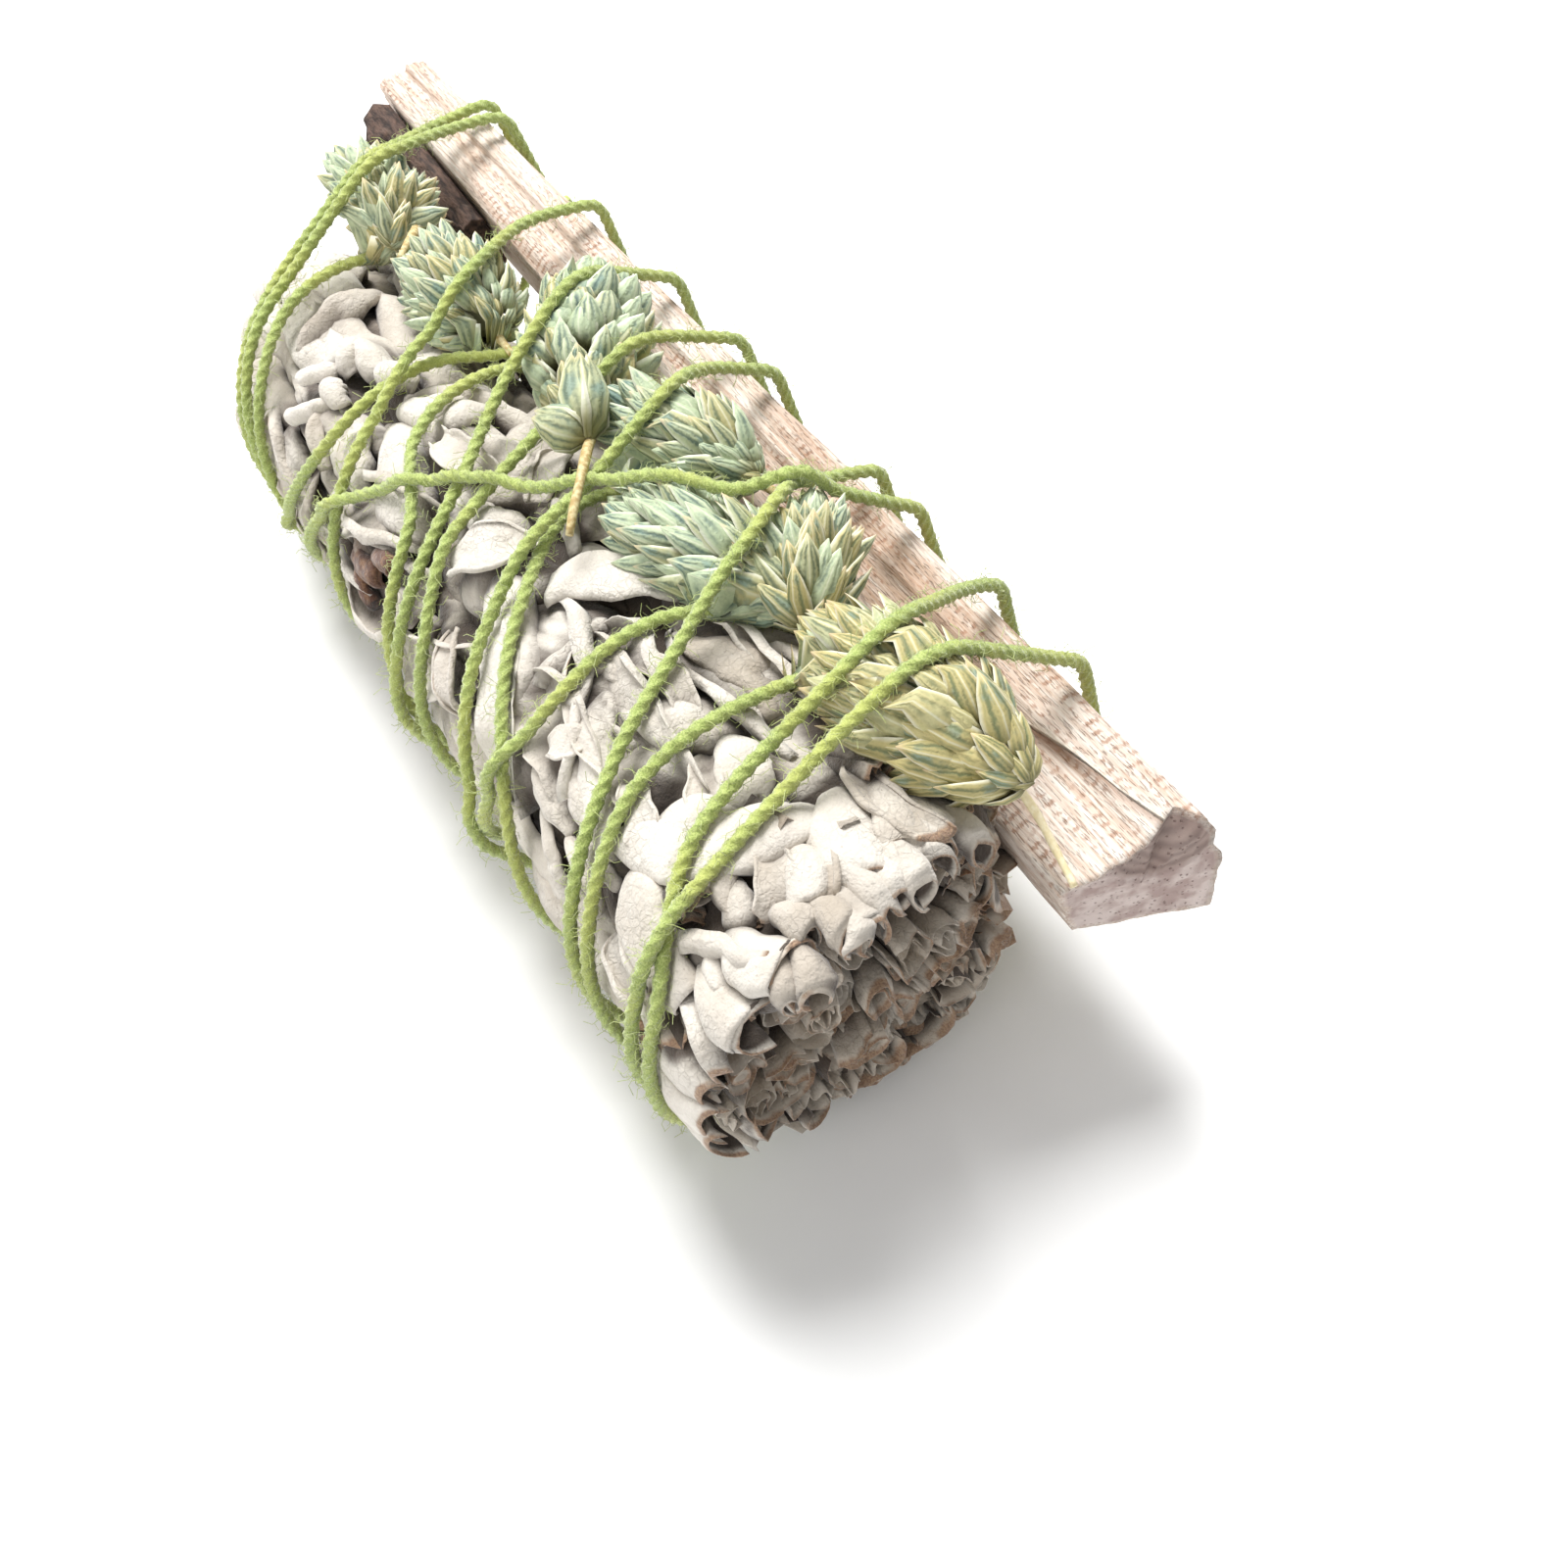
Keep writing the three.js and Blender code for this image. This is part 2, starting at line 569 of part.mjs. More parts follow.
// Leaves of one sprig, from the cut end to the tips: each next one starts deeper, below the last
function sprigLeaves(k) {
  const random = makeRandom(101 + 17 * k);
  const leaves = [];
  for (let n = 0; n < LEAVES_PER_SPRIG; n += 1) {
    const rootX = SAGE_CUT_X + 12 - 17.5 * n + 5 * (random() - 0.5);
    const share = (n % 2 ? 0.3 : 0.7) + 0.2 * (random() - 0.5);
    const isFolded = random() < 0.3;
    leaves.push(leafSolid(k, {
      rootX,
      tipX: Math.max(rootX - lerp(46, 58, random()), SAGE_TIP_X + 3 * random()),
      cutX: SAGE_CUT_X - 1.2 * random(),
      rootShare: share,
      tipShare: share + 0.3 * (random() - 0.5),
      halfWidth: lerp(6, 7.8, random()),
      fold: isFolded ? -0.9 : 0.8,
      tipDepth: isFolded ? 1.0 : 0.15,
      sway: 1.2 * random(),
      phase: 6 * random(),
    }));
  }
  return leaves;
}

// What stands out of the cut face of an outer sprig: one stem near the middle, two curled leaf ends
function sprigCutEnd(k) {
  const random = makeRandom(701 + 31 * k);
  const [from, to] = sprigBounds(k).map(degToRad);
  const stemAngle = lerp(from, to, 0.4 + 0.2 * random());
  const parts = [stemSolid(SAGE_CUT_X - 0.4 - random(), stemAngle, 9 + random(), 1.2 + 0.5 * random())];
  for (const share of [0.27, 0.73]) {
    const curl = 1.5 + 0.7 * random();
    const angle = lerp(from, to, share);
    parts.push(curlSolid(angle, 13.4 - 0.6 * random(), curl, 6.3 * random(), 2.6 + 1.8 * random()));
  }
  return parts;
}

// A pad of pressed leaf under the bundle: six-sided, tapered, flat below
function footSolid(x) {
  const top = sagePoint(x, -Math.PI / 2, sageRadius(x) - CORE_DEPTH - 1);
  const height = top.z - FLOOR_Z;
  const geometry = new THREE.CylinderGeometry(0.9, 1, height, 6);
  geometry.rotateX(Math.PI / 2);
  geometry.scale(FOOT_LENGTH / 2, FOOT_WIDTH / 2, 1);
  geometry.translate(x, top.y + FOOT_ASIDE, FLOOR_Z + height / 2);
  return toSolid(geometry);
}

// The knife went through aslant: the cut face leans out towards its lower side
function leanOut(solid) {
  return solid.warp((point) => {
    const near = smoothstep(point[0], SAGE_CUT_X - SAGE_LEAN_LENGTH, SAGE_CUT_X);
    point[0] += SAGE_LEAN * near * (SAGE_CUT_RADIUS - point[2]);
  });
}

function outerSprig(k, keepClear) {
  const [from, to] = sprigBounds(k).map(degToRad);
  const core = sectorSolid(k, SAGE_TIP_X + 5, SAGE_CUT_X - 2.6, 7, (x, share) => (
    sageSurface(x, lerp(from, to, share)) - CORE_DEPTH
  ));
  const feet = k === 0 ? FEET_X.map(footSolid) : [];
  const fused = leanOut(joinAll([core, ...sprigLeaves(k), ...sprigCutEnd(k), ...feet]));
  return largestPiece(keepClear.reduce((solid, other) => solid.subtract(other), fused));
}

// The middle sprig: a slim core with a stem and three curled leaf ends in its cut face
function middleSprig() {
  const sides = 9;
  const core = toSolid(loft(sides, 3, (share, corner, isCentre) => {
    const x = lerp(SAGE_TIP_X + 3, SAGE_CUT_X - 3, share);
    const radius = isCentre ? 0 : MIDDLE_SPRIG_RADIUS - (share === 0 ? 2 : 0);
    return sagePoint(x, (2 * Math.PI * corner) / sides, radius);
  }));
  const stem = stemSolid(SAGE_CUT_X - 0.5, 1, 0.6, 1.5);
  const curls = [0.4, 2.5, 4.6].map((angle, n) => curlSolid(angle, 3.6, 1.6, 2 * n, 3 + 0.4 * n));
  return largestPiece(leanOut(joinAll([core, stem, ...curls])));
}

// One canary grass head: a slim core, glumes in a spiral that point to the tip, and a cut stalk
function headSolid(head, seed) {
  const random = makeRandom(seed);
  const coreRadius = head.radius - 3.3;
  const core = new THREE.SphereGeometry(1, 6, 5);
  core.rotateZ(Math.PI / 2);
  core.scale(head.half * 0.82, coreRadius, coreRadius);
  const parts = [toSolid(core)];
  for (let n = 0; n < GLUMES_PER_HEAD; n += 1) {
    const share = (n + 0.5) / GLUMES_PER_HEAD;
    const along = lerp(-0.86, 0.8, share);
    const turn = n * GOLDEN_ANGLE;
    const lean = lerp(0.98, 0.3, share) + 0.12 * (random() - 0.5);
    const length = GLUME_LENGTH * (0.88 + 0.2 * random());
    const profile = [[0, -1.6], [1, length * 0.2], [0, length - 1.6]].map((p) => new THREE.Vector2(...p));
    const glume = new THREE.LatheGeometry(profile, 3);
    glume.rotateY(-Math.PI / 2);
    glume.rotateZ(-Math.PI / 2);
    glume.scale(1, GLUME_DEPTH / 1.5, GLUME_WIDTH / 1.75);
    const surface = coreRadius * Math.sqrt(1 - along * along);
    glume.rotateZ(lean);
    glume.translate(head.half * 0.82 * along, Math.max(surface - 0.4, 0.2), 0);
    glume.rotateX(turn);
    parts.push(toSolid(glume));
  }
  const stalk = new THREE.CylinderGeometry(0.75, 0.65, head.half * 0.6, 5);
  stalk.rotateZ(Math.PI / 2);
  stalk.translate(-head.half * 0.82 - head.half * 0.2, 0, 0);
  parts.push(toSolid(stalk));
  const tilt = new THREE.Matrix4().makeRotationFromEuler(
    new THREE.Euler(0, -degToRad(head.pitch), Math.PI + degToRad(head.yaw), 'ZYX'),
  );
  tilt.setPosition(head.x, head.y, head.z);
  return joinAll(parts).transform(tilt.elements);
}

// Half the space on the far side of the plane between two heads, with half the gap taken off. The heads
// are longer than they are wide, so the plane turns towards their length.
function beyondPlane(head, other) {
  const middle = new THREE.Vector3(head.x, head.y, head.z);
  const away = new THREE.Vector3(other.x, other.y, other.z).sub(middle);
  const split = head.radius / (head.radius + other.radius);
  const normal = new THREE.Vector3(away.x * HEAD_SIDE_BY_SIDE, away.y, away.z).normalize();
  const distance = away.dot(normal) * split - GAP / 2;
  const size = 60;
  const geometry = new THREE.BoxGeometry(size, size, size);
  geometry.translate(distance + size / 2, 0, 0);
  const turn = new THREE.Quaternion().setFromUnitVectors(new THREE.Vector3(1, 0, 0), normal);
  geometry.applyQuaternion(turn);
  geometry.translate(middle.x, middle.y, middle.z);
  return toSolid(geometry);
}

const group = new THREE.Group();

const strand = thinOut(twinePoints(), TWINE_TOLERANCE, TWINE_LONGEST_STEP);
const twine = joinAll(twineLengths(strand, TWINE_RADIUS, TWINE_SIDES));
const twineRoom = joinAll(twineLengths(strand, (TWINE_RADIUS + GAP) / Math.cos(Math.PI / 6), 6));
const woodRoom = woodSolid(GAP);
const barkRoom = barkSolid(GAP);

group.add(toMesh('palo_santo_stick', woodSolid(), materials.wood));
group.add(toMesh('palo_santo_bark', barkSolid(), materials.bark));
group.add(toMesh('twine', largestPiece(twine), materials.twine));

const sageClear = [woodRoom, twineRoom];
for (let k = 0; k < SPRIG_COUNT; k += 1) {
  group.add(toMesh(`sage_sprig_${k + 1}`, outerSprig(k, sageClear), materials.leaf));
}
group.add(toMesh('sage_sprig_middle', middleSprig(), materials.leaf));

const sageRoom = toSolid(loft(30, 8, (share, corner, isCentre) => {
  const x = lerp(SAGE_TIP_X - 4, SAGE_CUT_X + 4, share);
  return sagePoint(x, (2 * Math.PI * corner) / 30, isCentre ? 0 : sageRadius(x) + GAP);
}));
HEADS.forEach((head, n) => {
  let solid = headSolid(head, 31 + n);
  for (const other of HEADS) {
    const apart = Math.hypot(other.x - head.x, other.y - head.y, other.z - head.z);
    if (other !== head && apart < 1.2 * (head.half + other.half)) solid = solid.subtract(beyondPlane(head, other));
  }
  solid = solid.subtract(sageRoom).subtract(twineRoom).subtract(woodRoom).subtract(barkRoom);
  group.add(toMesh(`canary_head_${n + 1}`, largestPiece(solid), materials.grass));
});

// The origin is under the middle of the whole bundle, on the surface that it lies on
const bounds = new THREE.Box3().setFromObject(group);
const centre = bounds.getCenter(new THREE.Vector3());
group.position.set(-centre.x, -centre.y, -bounds.min.z);

export default group;
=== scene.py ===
import math

import bpy
import numpy as np
from mathutils import Matrix, Vector, kdtree


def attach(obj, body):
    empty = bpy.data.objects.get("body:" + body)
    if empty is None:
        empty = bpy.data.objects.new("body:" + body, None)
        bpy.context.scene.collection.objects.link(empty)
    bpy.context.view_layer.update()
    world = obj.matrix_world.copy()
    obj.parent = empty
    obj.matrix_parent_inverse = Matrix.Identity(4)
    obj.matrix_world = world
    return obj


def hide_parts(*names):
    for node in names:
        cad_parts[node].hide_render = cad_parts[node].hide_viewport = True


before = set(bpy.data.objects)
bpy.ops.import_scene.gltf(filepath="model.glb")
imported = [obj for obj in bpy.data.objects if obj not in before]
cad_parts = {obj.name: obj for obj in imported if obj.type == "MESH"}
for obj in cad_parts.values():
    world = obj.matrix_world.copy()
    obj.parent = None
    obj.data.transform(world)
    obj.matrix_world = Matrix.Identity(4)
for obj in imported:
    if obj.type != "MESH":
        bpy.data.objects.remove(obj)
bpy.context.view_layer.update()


# The camera: a normal lens held above the cut ends and to the left of the bundle, as the photograph
# was taken. Its place and directions were found from the stick's corners and the bundle's outline.
BUNDLE_ORIGIN = np.array([-0.850, -5.220, 20.600])
CAMERA_PLACE = np.array([102.589, -32.919, 104.558])
CAMERA_RIGHT = Vector((0.549795, 0.834647, -0.033002))
CAMERA_UP = Vector((-0.668835, 0.463553, 0.581187))
CAMERA_LENS = 32.67


def put(points):
    """Points of the bundle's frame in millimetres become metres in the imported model's frame."""
    return (np.asarray(points, float) + BUNDLE_ORIGIN) * 0.001


def add_object(name, data):
    """Puts a new object with this data into the scene."""
    made = bpy.data.objects.new(name, data)
    bpy.context.scene.collection.objects.link(made)
    return made


camera = add_object("camera", bpy.data.cameras.new("camera"))
camera.data.sensor_width = 36
camera.data.lens = CAMERA_LENS
camera.data.clip_start = 0.01
camera.matrix_world = Matrix.LocRotScale(
    Vector(put(CAMERA_PLACE)),
    Matrix((CAMERA_RIGHT, CAMERA_UP, CAMERA_RIGHT.cross(CAMERA_UP))).transposed().to_quaternion(),
    None,
)
bpy.context.scene.camera = camera


# The studio: a white table that runs on out of sight, a broad soft light above and behind the far end,
# a weaker one at the left, and a bright white room all round. The table is painted board, so its
# finish is a plain white with a trace of mottle.
def hex_colour(code):
    """A colour written as in a paint chart becomes the linear numbers that a shader takes."""
    parts = [int(code[k:k + 2], 16) / 255 for k in (1, 3, 5)]
    return [c / 12.92 if c <= 0.04045 else ((c + 0.055) / 1.055) ** 2.4 for c in parts] + [1]


class Wire:
    """One output of a node. Sums and products of wires and numbers add Math nodes to the tree."""

    def __init__(self, graph, socket):
        self.graph = graph
        self.socket = socket

    def maths(self, operation, *values):
        return self.graph.node("ShaderNodeMath", {"operation": operation}, dict(enumerate(values)))

    def __add__(self, other):
        return self.maths("ADD", self, other)

    def __sub__(self, other):
        return self.maths("SUBTRACT", self, other)

    def __rsub__(self, other):
        return self.maths("SUBTRACT", other, self)

    def __mul__(self, other):
        return self.maths("MULTIPLY", self, other)

    def __truediv__(self, other):
        return self.maths("DIVIDE", self, other)

    def __pow__(self, other):
        return self.maths("POWER", self, other)

    __radd__ = __add__
    __rmul__ = __mul__

    def sine(self):
        return self.maths("SINE", self)

    def cosine(self):
        return self.maths("COSINE", self)

    def ramp(self, low, high, to_low=0, to_high=1):
        """Runs smoothly from one value to another while this one goes from low to high."""
        inputs = dict(enumerate((self, low, high, to_low, to_high)))
        return self.graph.node("ShaderNodeMapRange", {"interpolation_type": "SMOOTHSTEP"}, inputs)

    def output(self, name):
        """Another output of the same node."""
        return Wire(self.graph, self.socket.node.outputs[name])


class Graph:
    """A node tree that is being made, for a finish or for Geometry Nodes."""

    def __init__(self, tree):
        self.tree = tree

    def node(self, kind, settings=None, inputs=None):
        """Adds a node: its settings first, then the value or the wire of each input."""
        made = self.tree.nodes.new(kind)
        for key, value in (settings or {}).items():
            setattr(made, key, value)
        for key, value in (inputs or {}).items():
            if isinstance(value, Wire):
                self.tree.links.new(value.socket, made.inputs[key])
            else:
                made.inputs[key].default_value = value
        return Wire(self, made.outputs[0]) if len(made.outputs) else None


class Finish(Graph):
    """A material, with the mixes and patterns that the finishes share. Patterns read millimetres."""

    def __init__(self, name, roughness, **constants):
        self.material = bpy.data.materials.new(name)
        self.material.use_nodes = True
        super().__init__(self.material.node_tree)
        self.shader = self.tree.nodes["Principled BSDF"]
        for key, value in {"Roughness": roughness, **constants}.items():
            self.shader.inputs[key.replace("_", " ")].default_value = value
        self.colour = None
        place = self.node("ShaderNodeTexCoord").output("Object")
        self.place = self.node("ShaderNodeVectorMath", {"operation": "SCALE"}, {0: place, "Scale": 1000.0})

    def noise(self, size, detail=2.0, stretch=None, roughness=0.5):
        """Clouds of this size in millimetres, from 0 to 1. A stretch below 1 pulls them out on its axis."""
        place = self.place
        if stretch:
            place = self.node("ShaderNodeVectorMath", {"operation": "MULTIPLY"}, {0: place, 1: stretch})
        inputs = {"Vector": place, "Scale": 1 / size, "Detail": detail, "Roughness": roughness}
        return self.node("ShaderNodeTexNoise", None, inputs)

    def attribute(self, name):
        """A number that the mesh holds at each point."""
        return self.node("ShaderNodeAttribute", {"attribute_name": name}).output("Fac")

    def mix(self, share, first, second):
        """Goes from the first colour to the second as the share goes from 0 to 1."""
        first, second = (hex_colour(a) if isinstance(a, str) else a for a in (first, second))
        settings = {"data_type": "RGBA", "clamp_factor": True}
        made = self.node("ShaderNodeMix", settings, {0: share, 6: first, 7: second})
        return Wire(self, made.socket.node.outputs[2])

    def coat(self, share, colour):
        """Lays one more colour over the finish, where the share is 1."""
        self.colour = self.mix(share, self.colour, colour)

    def feed(self, name, wire):
        """Leads a wire into one of the shader's sockets."""
        self.tree.links.new(wire.socket, self.shader.inputs[name])

    def close(self, height, depth):
        """Gives the shader its colour, and bumps of a height from 0 to 1, where 1 is the depth in mm."""
        self.feed("Base Color", self.colour)
        inputs = {"Height": height, "Distance": depth * 0.001, "Strength": 1.0}
        self.feed("Normal", self.node("ShaderNodeBump", None, inputs))


TABLE_SIZE = 3.0

table_finish = Finish("white_table", roughness=0.6)
mottle = table_finish.noise(60.0).ramp(0.3, 0.7)
table_finish.feed("Base Color", table_finish.mix(mottle, "#fcfcfb", "#f9f9f8"))
bpy.ops.mesh.primitive_plane_add(size=TABLE_SIZE)
table = bpy.context.object
table.name = "table"
table.data.materials.append(table_finish.material)

LIGHTS = [
    # name, place and target in metres, width, power in watts
    ("light_above", (-0.35, 0.10, 0.75), (0, 0, 0.02), 0.42, 11.0),
    ("light_left", (0.15, -0.80, 0.45), (0, 0, 0.02), 0.60, 3.0),
]
for name, place, target, width, power in LIGHTS:
    light = add_object(name, bpy.data.lights.new(name, "AREA"))
    light.data.size = width
    light.data.energy = power
    light.location = place
    light.rotation_euler = (Vector(target) - Vector(place)).to_track_quat("-Z", "Y").to_euler()

room = bpy.data.worlds.new("white_room")
room.use_nodes = True
walls = room.node_tree.nodes["Background"].inputs
walls["Color"].default_value = (1.0, 1.0, 1.0, 1)
walls["Strength"].default_value = 0.4
bpy.context.scene.world = room
bpy.context.scene.view_settings.view_transform = "Standard"


# The palo santo stick: one straight piece about 135 mm long, split from a branch with a hatchet, so
# its faces are flat flakes that run with the grain, with a step down the top face and rough edges. Its
# ends are sawn. The wood is pale and pinkish, with short dark pores along it and rays across it.
STICK_HALF_LENGTH = 65.0
STICK_FAR = {"y": 20.7, "z": 11.6, "width": 6.6}
STICK_NEAR = {"y": 21.7, "z": 5.4, "width": 13.4}
STICK_THICKNESS = 11.4
STICK_TILT = math.radians(15.8)
STICK_DEEPENING = 0.68
STICK_CORNERS_FAR = [
    # across and up between the stick's faces, and how far past its half length the saw left the corner
    (-0.92, -1, 1.2), (0.94, -1, 1), (1, -0.2, 0.8), (0.97, 0.9, 0.6), (0.73, 0.97, 0.7),
    (0.3, 1, 0.9), (0.18, 0.88, 1), (-0.6, 0.96, 1.5), (-1, 0.86, 1.7), (-0.96, -0.1, 1.5),
]
STICK_CORNERS_NEAR = [
    (-0.92, -1, -1), (0.79, -1 - STICK_DEEPENING, 3.4), (1, -0.3, 3.4), (0.97, 0.9, 2.2), (0.73, 0.98, -0.2),
    (0.3, 1, 0.7), (0.18, 0.88, 0.6), (-0.6, 0.96, 0.4), (-1, 0.86, -0.5), (-0.96, -0.1, -1),
]


def between(low, high, share):
    return low + (high - low) * share


def in_space(x, y, z):
    """Coordinates, each an array or one number, become an array of points."""
    return np.stack(np.broadcast_arrays(x, y, z), -1)


def ramp(low, high, value):
    """Goes smoothly from 0 to 1 as the value goes from low to high."""
    share = np.clip((value - low) / (high - low), 0, 1)
    return share * share * (3 - 2 * share)


RIPPLE_WAVES = 7


def ripple(points, size, seed):
    """Smooth seeded hills about this size in millimetres, from about -1 to 1, at each point."""
    draw = np.random.default_rng(seed)
    total = 0
    for _ in range(RIPPLE_WAVES):
        direction = draw.normal(size=points.shape[-1])
        direction *= 2 * math.pi / (size * draw.uniform(0.7, 1.5) * np.linalg.norm(direction))
        total = total + np.sin(points @ direction + draw.uniform(0, 2 * math.pi))
    return total / math.sqrt(RIPPLE_WAVES * 1.6)


def stick_share(x):
    return (x + STICK_HALF_LENGTH) / (2 * STICK_HALF_LENGTH)


def stick_size(key, x):
    """The stick's middle or width at a place along it."""
    return between(STICK_FAR[key], STICK_NEAR[key], stick_share(x))


def stick_point(x, across, up):
    """A point of the stick: across and up run from -1 to 1 between its faces."""
    a = across * (stick_size("width", x) / 2)
    b = up * (STICK_THICKNESS / 2)
    y = stick_size("y", x) + a * math.cos(STICK_TILT) - b * math.sin(STICK_TILT)
    z = stick_size("z", x) + a * math.sin(STICK_TILT) + b * math.cos(STICK_TILT)
    return in_space(x, y, z)


def even_steps(line, count, axes=3, endpoint=True):
    """Count points at even steps along a line, as measured in its first two or three axes."""
    line = np.array(line, float)
    reach = np.concatenate([[0], np.cumsum(np.linalg.norm(np.diff(line[:, :axes], axis=0), axis=1))])
    steps = np.linspace(0, reach[-1], count, endpoint=endpoint)
    return np.stack([np.interp(steps, reach, line[:, k]) for k in range(line.shape[1])], -1)


def closed_line(corners, count):
    """Count points at even steps along a closed line through the corners."""
    return even_steps(corners + corners[:1], count, axes=2, endpoint=False)


def grid_faces(rows, columns, closed):
    """Quads between a grid's points, row after row; a closed grid joins its last column to its first."""
    i, j = np.meshgrid(np.arange(rows - 1), np.arange(columns if closed else columns - 1), indexing="ij")
    here, right = i * columns + j, i * columns + (j + 1) % columns
    return np.stack([here, here + columns, right + columns, right], -1).reshape(-1, 4)


def make_piece(name, points, faces, finish, attributes=None):
    """A mesh object at the origin, from points in millimetres in the bundle's frame."""
    mesh = bpy.data.meshes.new(name)
    mesh.from_pydata(put(points).tolist(), [], [list(dict.fromkeys(face)) for face in faces.tolist()])
    for key, values in (attributes or {}).items():
        mesh.attributes.new(key, "FLOAT", "POINT").data.foreach_set("value", np.asarray(values, np.float32))
    mesh.materials.append(finish.material)
    mesh.polygons.foreach_set("use_smooth", [True] * len(mesh.polygons))
    mesh.update()
    return add_object(name, mesh)


def dress(piece, node):
    """The finished piece stands for its CAD node and moves with the body."""
    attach(piece, "root")
    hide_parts(node)


def closed_loft(rings, caps=None):
    """Points and faces of a closed skin over rings of points, with a point in the middle of each end."""
    rows, columns = rings.shape[:2]
    caps = rings[[0, -1]].mean(1) if caps is None else caps
    points = np.concatenate([rings.reshape(-1, 3), caps])
    here = np.arange(columns)
    ahead = (here + 1) % columns
    far_cap, near_cap = here * 0 + len(points) - 2, here * 0 + len(points) - 1
    last_row = (rows - 1) * columns
    far_fan = np.stack([here, ahead, far_cap, far_cap], -1)
    near_fan = np.stack([ahead + last_row, here + last_row, near_cap, near_cap], -1)
    faces = np.concatenate([grid_faces(rows, columns, True), far_fan, near_fan])
    a, b, c, d = (points[faces[:, k]] for k in range(4))
    points_inwards = np.sum(a * (np.cross(b, c) + np.cross(c, d))) < 0
    return points, faces[:, ::-1] if points_inwards else faces


def stations(count, rounding):
    """For a loft with rounded ends: how far along each ring is, and how far in it is at the ends."""
    share = np.concatenate([0 * rounding, np.linspace(0, 1, count), 0 * rounding + 1])
    inset = np.concatenate([rounding[::-1], np.zeros(count), rounding])
    return share[:, None], inset[:, None]


STICK_AROUND = 132
corner_pairs = [far + near for far, near in zip(STICK_CORNERS_FAR, STICK_CORNERS_NEAR)]
far_line, near_line = np.split(closed_line(corner_pairs, STICK_AROUND), 2, axis=1)
share, inset = stations(230, np.linspace(0.1, 0.95, 9))
across, up, past = np.moveaxis(between(far_line[None], near_line[None], share[..., None]), -1, 0)
x = between(-STICK_HALF_LENGTH, STICK_HALF_LENGTH, share)

# The flakes and fibres are hills on a cylinder about as thick as the stick, drawn out along the grain.
turn = np.arange(STICK_AROUND) * 0.04743
cells = in_space(x, 12.0 * np.cos(turn), 12.0 * np.sin(turn))
flakes = ripple(cells * [0.035, 1, 1], 5.5, 21)
flakes = np.tanh(3.5 * flakes) * 0.16 + ripple(cells * [0.05, 1, 1], 1.6, 22) * 0.07
flakes = flakes + ripple(cells * [0.12, 1, 1], 0.9, 23) * 0.04
hollows = 0.012 * ripple(cells * [0.25, 1, 1], 4.0, 24)
keep = (1 - inset) * (1 - (0.035 - flakes * 0.12) - hollows)

# A split runs back from the near end along the top face. On its left the wood lies a little lower.
SPLIT_X = 51
SPLIT_DROP = 0.07
split_line = 0.15 + 0.0292 * (x - SPLIT_X) - across
near_split = ramp(36, 46, x) * ramp(0.0, 0.3, up)
split_fall = SPLIT_DROP * between(1, 0.4, ramp(SPLIT_X, 66, x)) * near_split
split_fall = split_fall * ramp(0.0, 0.11, split_line) * ramp(0.9, 0.3, split_line)

# The saw went through at a slant and left small waves.
slant = between(np.where(share > 0.5, past, -past), np.where(share > 0.5, 1.2, -1.1), inset)
ends = ramp(0.9, 1.0, np.abs(2 * share - 1))
saw_marks = 0.14 * ripple(in_space(across * 7, up * 6, 1.0) * (1 - inset[..., None]), 1.6, 25)
rings = stick_point(x + slant * ends + saw_marks * (inset > 0), across * keep, up * keep - split_fall)
caps = stick_point(np.array([-1, 1]) * STICK_HALF_LENGTH + [-1.1, 1.2], 0.0, 0.0)

# Marks for the finish: the sawn ends, the distance in millimetres from the split, and how far a point of
# the near end is from the middle of its darker heartwood, on its top edge, against the heartwood's size.
HEART_ASIDE = 3.0
HEART_SIZE = 5.4
near_half_width = STICK_NEAR["width"] / 2
half_thickness = STICK_THICKNESS / 2
heart_y = across * keep * near_half_width - HEART_ASIDE
heart_z = (up * keep * half_thickness - half_thickness) * 0.95
wood_marks = {
    "sawn": inset > 0,
    "split": np.where(up > 0, split_line * near_half_width, 9.0 * np.sign(split_line)),
    "heart": np.hypot(heart_y, heart_z) / HEART_SIZE + 3.0 * (x < 0),
}
wood_marks = {
    key: np.append(np.broadcast_to(value, rings.shape[:2]).ravel(), [value.flat[0], value.flat[-1]])
    for key, value in wood_marks.items()
}
wood = Finish("palo_santo", roughness=0.78)
stick = make_piece("palo_santo_stick_wood", *closed_loft(rings, caps), wood, wood_marks)

grain = wood.noise(1.0, 4.0, (0.05, 2.0, 2.0), 0.7)
fibre = wood.noise(1.0, 3.0, (0.22, 6.5, 6.5), 0.6)
dashes = wood.noise(1.0, 1.0, (0.75, 7.0, 7.0))
field = wood.noise(1.0, 2.0, (0.035, 0.32, 0.32))
length = wood.node("ShaderNodeSeparateXYZ", None, {0: wood.place})
rungs = (length * 6.0 + fibre * 7.0).sine().ramp(0.0, 0.8) * wood.noise(1.4, 2.0).ramp(0.36, 0.54)
rails = wood.noise(1.0, 1.0, (0.012, 1.1, 1.1)).ramp(0.49, 0.57)
warm = length.ramp(57.0, 44.0) * length.ramp(-6.0, 20.0) * (field * 0.6 + fibre * 0.6).ramp(0.4, 0.72)
split = wood.attribute("split")
split_near = length.ramp(38, 46)
# Painted shadow: a dark strip on the lower side of the split's step near the end, where the raised wood
# would shade it.
split_painted_shadow = split.ramp(0.0, 0.14) * split.ramp(1.3, 0.15) * split_near * length.ramp(68, 50, 0.45, 0.85)
wood.colour = wood.mix(grain.ramp(0.3, 0.66), "#d0b6a2", "#f1e8de")
wood.coat(length.ramp(40.0, -40.0) * field.ramp(0.3, 0.6) * 0.3, "#bd9a80")
wood.coat(warm * 0.7, "#ad8a6c")
wood.coat(fibre.ramp(0.5, 0.74) * 0.36, "#b58d76")
